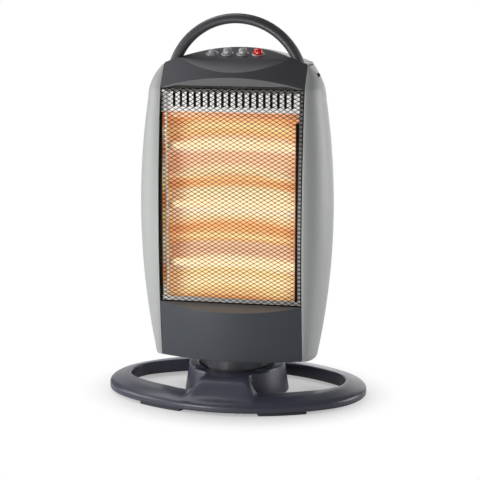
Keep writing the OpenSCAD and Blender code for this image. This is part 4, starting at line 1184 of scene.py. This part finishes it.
@dataclass
class MeshGuard:
    """Expanded metal over the opening, folded back round its edge, and the bright rim that holds it."""

    diamond_w: float = 9.2 * MM
    diamond_h: float = 5.4 * MM
    strand: float = 1.3 * MM
    behind: float = 0.7 * MM
    fold: float = 9.5 * MM
    top_fold: float = 5 * MM
    half_w: float = 94.0 * MM
    foot_z: float = 129.8 * MM
    head_z: float = 409.3 * MM
    rim_width: float = 3.6 * MM
    left_width: float = 1.8 * MM
    foot_width: float = 5.76 * MM
    rim_sheet: float = 0.6 * MM
    rim_rows: int = 28
    rim_gap: float = 0.5 * MM
    rim_inset: float = 0.2 * MM
    painted_shade_below: float = 30 * MM
    steel: Metal = Metal("guard_steel", (0.014, 0.012, 0.011), roughness=0.5, blotch=0.3, edge=0.2 * MM)
    bright_steel: Metal = Metal("rim_steel", (0.46, 0.44, 0.42), roughness=0.35, grain=Grain.ALONG_Z,
                                blotch=0.25)

    def rim(self) -> bpy.types.Object:
        """The bright frame behind the guard: a bowed strip with its outer edge turned back.

        Returns:
            The rim.
        """
        obj = started(bpy.ops.mesh.primitive_grid_add, x_subdivisions=4, y_subdivisions=self.rim_rows, size=2,
                      rotation=UPRIGHT)
        margin = self.strand / 2 + self.rim_inset
        half, low, high = self.half_w - margin, self.foot_z + margin, self.head_z - margin
        inner_low, inner_high = low + self.foot_width, high - self.rim_width
        columns = (-half, self.left_width - half, 0, half - self.rim_width, half)
        for v in obj.data.vertices:
            v.co = (columns[round((v.co.x + 1) * 2)], 0, low + (high - low) * (v.co.z + 1) / 2)
        with editing(obj):
            for height in (inner_low, inner_high):
                cut((0, 0, height), (0, 0, 1))
            pick(obj, lambda at, n: columns[1] < at.x < columns[3] and inner_low < at.z < inner_high)
            bpy.ops.mesh.delete(type="FACE")
        for v in obj.data.vertices:
            v.co.y = self.behind + self.strand / 2 + self.rim_gap - LINES.depth(v.co.z, LINES.front)
        with editing(obj, Parts.EDGES):
            pick(obj, lambda at, n: abs(abs(at.x) - half) < HAIR)
            bpy.ops.mesh.extrude_edges_move(TRANSFORM_OT_translate={"value": (0, self.fold, 0)})
        face_outwards(obj)
        modify(obj, "SOLIDIFY", thickness=self.rim_sheet, offset=0)
        return finished(obj, "guard_rim")

    def sheet(self) -> bpy.types.Object:
        """The flat sheet of staggered diamonds, folds included.

        Returns:
            The sheet.
        """
        reach_x = self.half_w + self.fold
        low, high = self.foot_z - self.fold, self.head_z + self.top_fold
        across = int(2 * reach_x / self.diamond_w) + 3
        up = int((high - low) / self.diamond_h) + 3
        obj = started(bpy.ops.mesh.primitive_circle_add, (self.diamond_w, self.diamond_h, 1), vertices=4,
                      radius=0.5, fill_type="NGON", rotation=UPRIGHT,
                      location=(-self.diamond_w * (across - 1) / 2, 0, low))
        for count, step in ((across, (self.diamond_w, 0, 0)), (up, (0, 0, self.diamond_h))):
            modify(obj, "ARRAY", count=count, use_relative_offset=False, use_constant_offset=True,
                   constant_offset_displace=step)
        obj = joined([copied(obj, (self.diamond_w / 2, 0, self.diamond_h / 2)), obj])
        with editing(obj):
            bpy.ops.mesh.select_all(action="SELECT")
            bpy.ops.mesh.remove_doubles(threshold=0.1 * MM)
            # the outer edges are cut off, and the folds are only marked
            for x, foot, head, off in ((reach_x, low, high, True),
                                       (self.half_w, self.foot_z, self.head_z, False)):
                cut((-x, 0, 0), (-1, 0, 0), clear_outer=off)
                cut((x, 0, 0), (1, 0, 0), clear_outer=off)
                cut((0, 0, foot), (0, 0, -1), clear_outer=off)
                cut((0, 0, head), (0, 0, 1), clear_outer=off)
            pick(obj, lambda at, n: abs(at.x) > self.half_w and not self.foot_z < at.z < self.head_z)
            bpy.ops.mesh.delete(type="FACE")
        return obj

    def fold_back(self, at: Vector) -> Place:
        """Where a point of the flat sheet lies once its edges are turned back and it is bowed to the housing.

        Args:
            at: The point on the flat sheet.

        Returns:
            The point on the guard.
        """
        x, z, back = at.x, at.z, 0.0
        if abs(x) > self.half_w:
            back, x = abs(x) - self.half_w, math.copysign(self.half_w, x)
        if z < self.foot_z:
            back, z = self.foot_z - z, self.foot_z
        elif z > self.head_z:
            back, z = z - self.head_z, self.head_z
        return x, self.behind + back - LINES.depth(z, LINES.front), z

    def build(self) -> None:
        """Builds the guard and its rim; where the rim lies in shade at the left, it is painted dark with the
        guard's steel: painted shade.
        """
        steel = self.steel.material()
        obj = self.sheet()
        for v in obj.data.vertices:
            v.co = self.fold_back(v.co)
        modify(obj, "WIREFRAME", thickness=self.strand, use_replace=True, use_even_offset=False,
               use_boundary=True, offset=0.0)
        obj.name = obj.data.name = "expanded_guard"
        deliver(obj, steel, ["guard_mesh", "guard_frame"])
        rim = deliver(self.rim(), self.bright_steel.material())
        shade_x, shade_z = self.rim_width - self.half_w, self.head_z - self.painted_shade_below
        # painted shade: the rim's left part takes the guard's dark steel
        face(rim, steel, lambda at, n: at.x < shade_x and at.z < shade_z)


@dataclass
class ButtonRow:
    """Four push buttons in their bezels on the sloping panel; the first one rests pressed in.

    The dish is the button's rounded top: from its edge to its middle, each step's width and height.
    """

    count: int = 4
    pitch: float = 20.4 * MM
    radius: float = 5.6 * MM
    height: float = 8 * MM
    stem: float = 2 * MM
    travel: float = 3.2 * MM
    cap_round: float = 0.35 * MM
    dish: Tuple[Tuple[float, float], ...] = (
        (0.30 * MM, 1.15 * MM), (0.55 * MM, 0.95 * MM), (0.8 * MM, 0.65 * MM), (1.2 * MM, 0.42 * MM),
        (1.4 * MM, 0.16 * MM))
    bezel_radius: float = 8.4 * MM
    bezel_height: float = 1.2 * MM
    bezel_gap: float = 0.4 * MM
    edge_y: float = -14 * MM
    edge_z: float = 447.5 * MM
    back: float = 17 * MM
    side: float = 3 * MM
    slope: float = 16.5
    grey: Moulding = Moulding("grey_button", (0.48, 0.48, 0.49), roughness=0.3, grain_depth=0.004 * MM,
                              coat=0.5, edge=0.4 * MM)
    # painted light: the red cap gives off a faint red glow, though no lamp lies in it
    red: Moulding = Moulding("red_button", (0.70, 0.012, 0.010), roughness=0.16, grain_depth=0.004 * MM,
                             coat=0.5, edge=0.4 * MM, glow=(1.0, 0.02, 0.01), glow_strength=0.12)
    ring: Moulding = Moulding("bezel_plastic", (0.66, 0.66, 0.67), roughness=0.34, grain_depth=0.006 * MM,
                              coat=0.3, edge=0.3 * MM)

    def laid(self, pattern: bpy.types.Object, index: int, sunk: float = 0.0) -> bpy.types.Object:
        """Lays a piece on the panel: a copy of the pattern, or the pattern itself as the row's last one.

        Args:
            pattern: The piece, made upright on the origin.
            index: Its place in the row, from 0.
            sunk: How far it is pressed in.

        Returns:
            The piece.
        """
        a = math.radians(self.slope)
        along = Vector((0, math.cos(a), math.sin(a)))
        up = Vector((0, -math.sin(a), math.cos(a)))
        last = self.count - 1
        obj = pattern if index == last else copied(pattern)
        obj.rotation_euler = (a, 0, 0)
        edge = Vector((self.pitch * (index - last / 2) - self.side, self.edge_y, self.edge_z))
        obj.location = edge + (along * self.back - up * sunk)
        settle(obj)
        return obj

    def button(self) -> bpy.types.Object:
        """A button, upright on the origin: a stem with a dished, rounded cap.

        Returns:
            The button.
        """
        obj = started(bpy.ops.mesh.primitive_cylinder_add, vertices=48, radius=self.radius,
                      depth=self.height + self.stem, location=(0, 0, (self.height - self.stem) / 2))
        with editing(obj):
            pick(obj, lambda at, n: n.z > 0.9)
            for width, drop in self.dish:
                bpy.ops.mesh.inset(thickness=width, depth=0)
                self.sink_outside(obj, drop)
        round_off(obj, self.cap_round, 40)
        return finished(obj, "button", 50)

    def sink_outside(self, obj: bpy.types.Object, drop: float) -> None:
        """Lowers the top's points outside the selected face, where they belong to the last two rings.

        Args:
            obj: The button, in edit mode.
            drop: How far they are lowered.
        """
        bm = bmesh.from_edit_mesh(obj.data)
        inner = {v for f in bm.faces if f.select for v in f.verts}
        ring = {v for i in inner for e in i.link_edges for v in e.verts} - inner
        outer = {v for r in ring for e in r.link_edges for v in e.verts if v.co.z > MM} - inner
        for v in ring | outer:
            v.co.z -= drop
        bmesh.update_edit_mesh(obj.data)

    def bezel(self) -> bpy.types.Object:
        """A bezel, upright on the origin: a rounded ring.

        Returns:
            The bezel.
        """
        wide = (self.bezel_radius - self.radius - self.bezel_gap) / 2
        obj = started(bpy.ops.mesh.primitive_torus_add, (1, 1, self.bezel_height / wide),
                      major_radius=self.bezel_radius - wide, minor_radius=wide, major_segments=56,
                      minor_segments=16)
        with editing(obj):
            cut((0, 0, 0), (0, 0, -1), clear_outer=True, use_fill=True)
        return finished(obj, "bezel", 50)

    def build(self) -> None:
        """Builds the row."""
        grey, red = self.grey.material(), self.red.material()
        button, bezel = self.button(), self.bezel()
        row = (("heat_button_1", "heat_1", grey, "grey_button"),
               ("heat_button_2", "heat_2", grey, "grey_button"),
               ("heat_button_3", "heat_3", grey, "grey_button"),
               ("swing_button", "swing", red, "red_button"))
        for i, (node, body, material, slot) in enumerate(row):
            obj = self.laid(button, i, self.travel if i == 0 else 0.0)
            obj.name = obj.data.name = f"{node}_cap"
            deliver(obj, material, [node], body)
        rings = joined([self.laid(bezel, i) for i in range(self.count)])
        rings.name = rings.data.name = "bezel_rings"
        deliver(rings, self.ring.material(), ["button_bezels"])


@dataclass
class Inside:
    """What lies inside: the drive, the switches, the wiring, the frames and the screws."""

    sheet: Metal = Metal("galvanised_sheet", (0.62, 0.63, 0.64), roughness=0.38, grain=Grain.ALONG_Z)
    screws: Metal = Metal("zinc_screws", (0.68, 0.69, 0.66), roughness=0.3)
    can: Metal = Metal("motor_can", (0.70, 0.70, 0.69), roughness=0.22, grain=Grain.ALONG_Z)
    nylon: Moulding = Moulding("natural_nylon", (0.66, 0.64, 0.58), roughness=0.4, edge=0.3 * MM)
    black_nylon: Moulding = Moulding("black_nylon", (0.02, 0.02, 0.022), roughness=0.5, edge=0.3 * MM)
    brass: Metal = Metal("turned_brass", (0.72, 0.52, 0.24), roughness=0.28)
    sleeve: Moulding = Moulding("loom_sleeve", (0.06, 0.015, 0.012), roughness=0.6, edge=0.5 * MM)

    def build(self) -> None:
        """Dresses the CAD nodes that stay as they are."""
        for finish, nodes in (
                (self.sheet, ("floor_pan", "side_frame_left", "side_frame_right", "retaining_washer")),
                (self.screws, ("gear_screws", "collar_screws", "motor_screws", "handle_screws")),
                (self.can, ("gear_motor",)),
                (self.nylon, ("fixed_gear", "drive_pinion", "tilt_switch", "terminal_block")),
                (self.black_nylon, ("switch_block", "slide_ring")),
                (self.brass, ("tilt_pendulum",)),
                (self.sleeve, ("wire_loom",))):
            dress(finish.material(), *nodes)


@dataclass(frozen=True)
class Lamp:
    """A soft square lamp that shines at the heater.

    Its azimuth and height are in degrees, the azimuth from the front towards +X, and its power is in watts.
    """

    name: str
    azimuth: float
    height: float
    power: float
    size: float = 1.2
    reach: float = 1.9

    def add(self, aim: Vector) -> None:
        """Adds the lamp.

        Args:
            aim: The point that it shines at.
        """
        a, e = math.radians(self.azimuth), math.radians(self.height)
        towards = Vector((math.sin(a) * math.cos(e), -math.cos(a) * math.cos(e), math.sin(e)))
        choose()
        bpy.ops.object.light_add(type="AREA", location=aim + self.reach * towards)
        obj = bpy.context.object
        obj.name = self.name
        obj.data.shape = "SQUARE"
        obj.data.size = self.size
        obj.data.energy = self.power
        obj.visible_camera = False
        obj.rotation_euler = towards.to_track_quat("Z", "Y").to_euler()


@dataclass
class Studio:
    """The floor, the light and the camera."""

    camera_reach: float = 1.977
    camera_height: float = 0.5828
    azimuth: float = 12.33
    pitch: float = 10.78
    pan: float = -0.109
    lens: float = 113.5
    sensor: float = 36.0
    clip: Tuple[float, float] = (0.01, 40)
    aim: Tuple[float, float, float] = (0, 0, 0.25)
    floor_size: float = 12
    floor_white: float = 0.38
    floor_in_gloss: float = 0.3
    floor_bounce: float = 0.55
    fade: Tuple[float, float] = (0.14, 0.225)
    fade_oval: float = 1.2
    room_light: float = 0.12
    room_in_gloss: float = 0.1
    lamps: Tuple[Lamp, ...] = (
        Lamp("front_card", -26, -12, 4.8, size=0.3, reach=0.9), Lamp("left_box", -75, 12, 20),
        Lamp("top_box", -122, 62, 14), Lamp("right_box", 106, 4, 25.5), Lamp("back_box_right", 170, 8, 6),
        Lamp("back_box_left", -160, 8, 3.5))

    def floor(self) -> None:
        """A pale floor that runs to the horizon, keeps the heater's shadow and throws back little light."""
        choose()
        bpy.ops.mesh.primitive_plane_add(size=self.floor_size)
        obj = bpy.context.object
        obj.name = obj.data.name = "floor"
        g = Graph(bpy.data.materials.new("pale_floor"))
        pale = g.mix(g.noise(g.place(), 0.4, 2), (0.90, 0.90, 0.90), (0.93, 0.93, 0.93))
        bounce = g.mix(g.ray("Diffuse") * (1 - self.floor_bounce), pale, (0, 0, 0))
        plain = g.add("ShaderNodeBsdfPrincipled", None, {"Base Color": bounce, "Roughness": 0.6})
        light = g.add("ShaderNodeEmission", None, {"Color": (1, 1, 1, 1), "Strength": 1.0})
        oval = g.place((1, self.fade_oval, 1))
        away = g.add("ShaderNodeVectorMath", {"operation": "LENGTH"}, {0: oval}, out="Value")
        share = self.floor_white + (1 - self.floor_white) * g.ramp(away, *self.fade)
        seen = g.maths("MAXIMUM", g.ray("Camera"), g.ray("Glossy") * self.floor_in_gloss)
        both = g.add("ShaderNodeMixShader", None, {0: share * seen, 1: plain, 2: light})
        obj.data.materials.append(g.finish(both))

    def world(self) -> None:
        """An even, pale surround, white where the camera looks past the floor."""
        g = Graph(bpy.data.worlds.new("surround"))
        soft = g.add("ShaderNodeBackground", None,
                     {"Color": (0.96, 0.98, 1.0, 1), "Strength": self.room_light})
        white = g.add("ShaderNodeBackground", None, {"Color": (1, 1, 1, 1), "Strength": 1.0})
        direct = g.maths("MAXIMUM", g.ray("Camera"), g.ray("Transmission"))
        seen = g.ray("Glossy") * self.room_in_gloss + direct
        both = g.add("ShaderNodeMixShader", None, {0: seen, 1: soft, 2: white})
        bpy.context.scene.world = g.finish(both, "ShaderNodeOutputWorld")

    def camera(self) -> None:
        """The camera, at the photograph's place and angle."""
        a = math.radians(self.azimuth)
        choose()
        bpy.ops.object.camera_add(
            location=(self.camera_reach * math.sin(a), -self.camera_reach * math.cos(a), self.camera_height),
            rotation=(math.radians(90 - self.pitch), 0, a + math.radians(self.pan)))
        obj = bpy.context.object
        obj.name = "photo_camera"
        obj.data.lens = self.lens
        obj.data.sensor_width = self.sensor
        obj.data.clip_start, obj.data.clip_end = self.clip
        bpy.context.scene.camera = obj

    def build(self) -> None:
        """Sets the stage."""
        self.floor()
        self.world()
        for lamp in self.lamps:
            lamp.add(Vector(self.aim))
        self.camera()
        bpy.context.scene.view_settings.view_transform = "Standard"


def main() -> None:
    """Builds the heater, sub-assembly by sub-assembly, and sets the stage."""
    logging.basicConfig(level=logging.INFO, format="%(name)s: %(message)s")
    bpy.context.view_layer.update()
    Studio().build()
    for assembly in (RingBase(), SideCheeks(), Housing(), ArchHandle(), HeatBank(), MeshGuard(), ButtonRow(),
                     Inside()):
        log.info("building %s", type(assembly).__name__)
        assembly.build()
    choose()


if __name__ == "__main__":
    main()
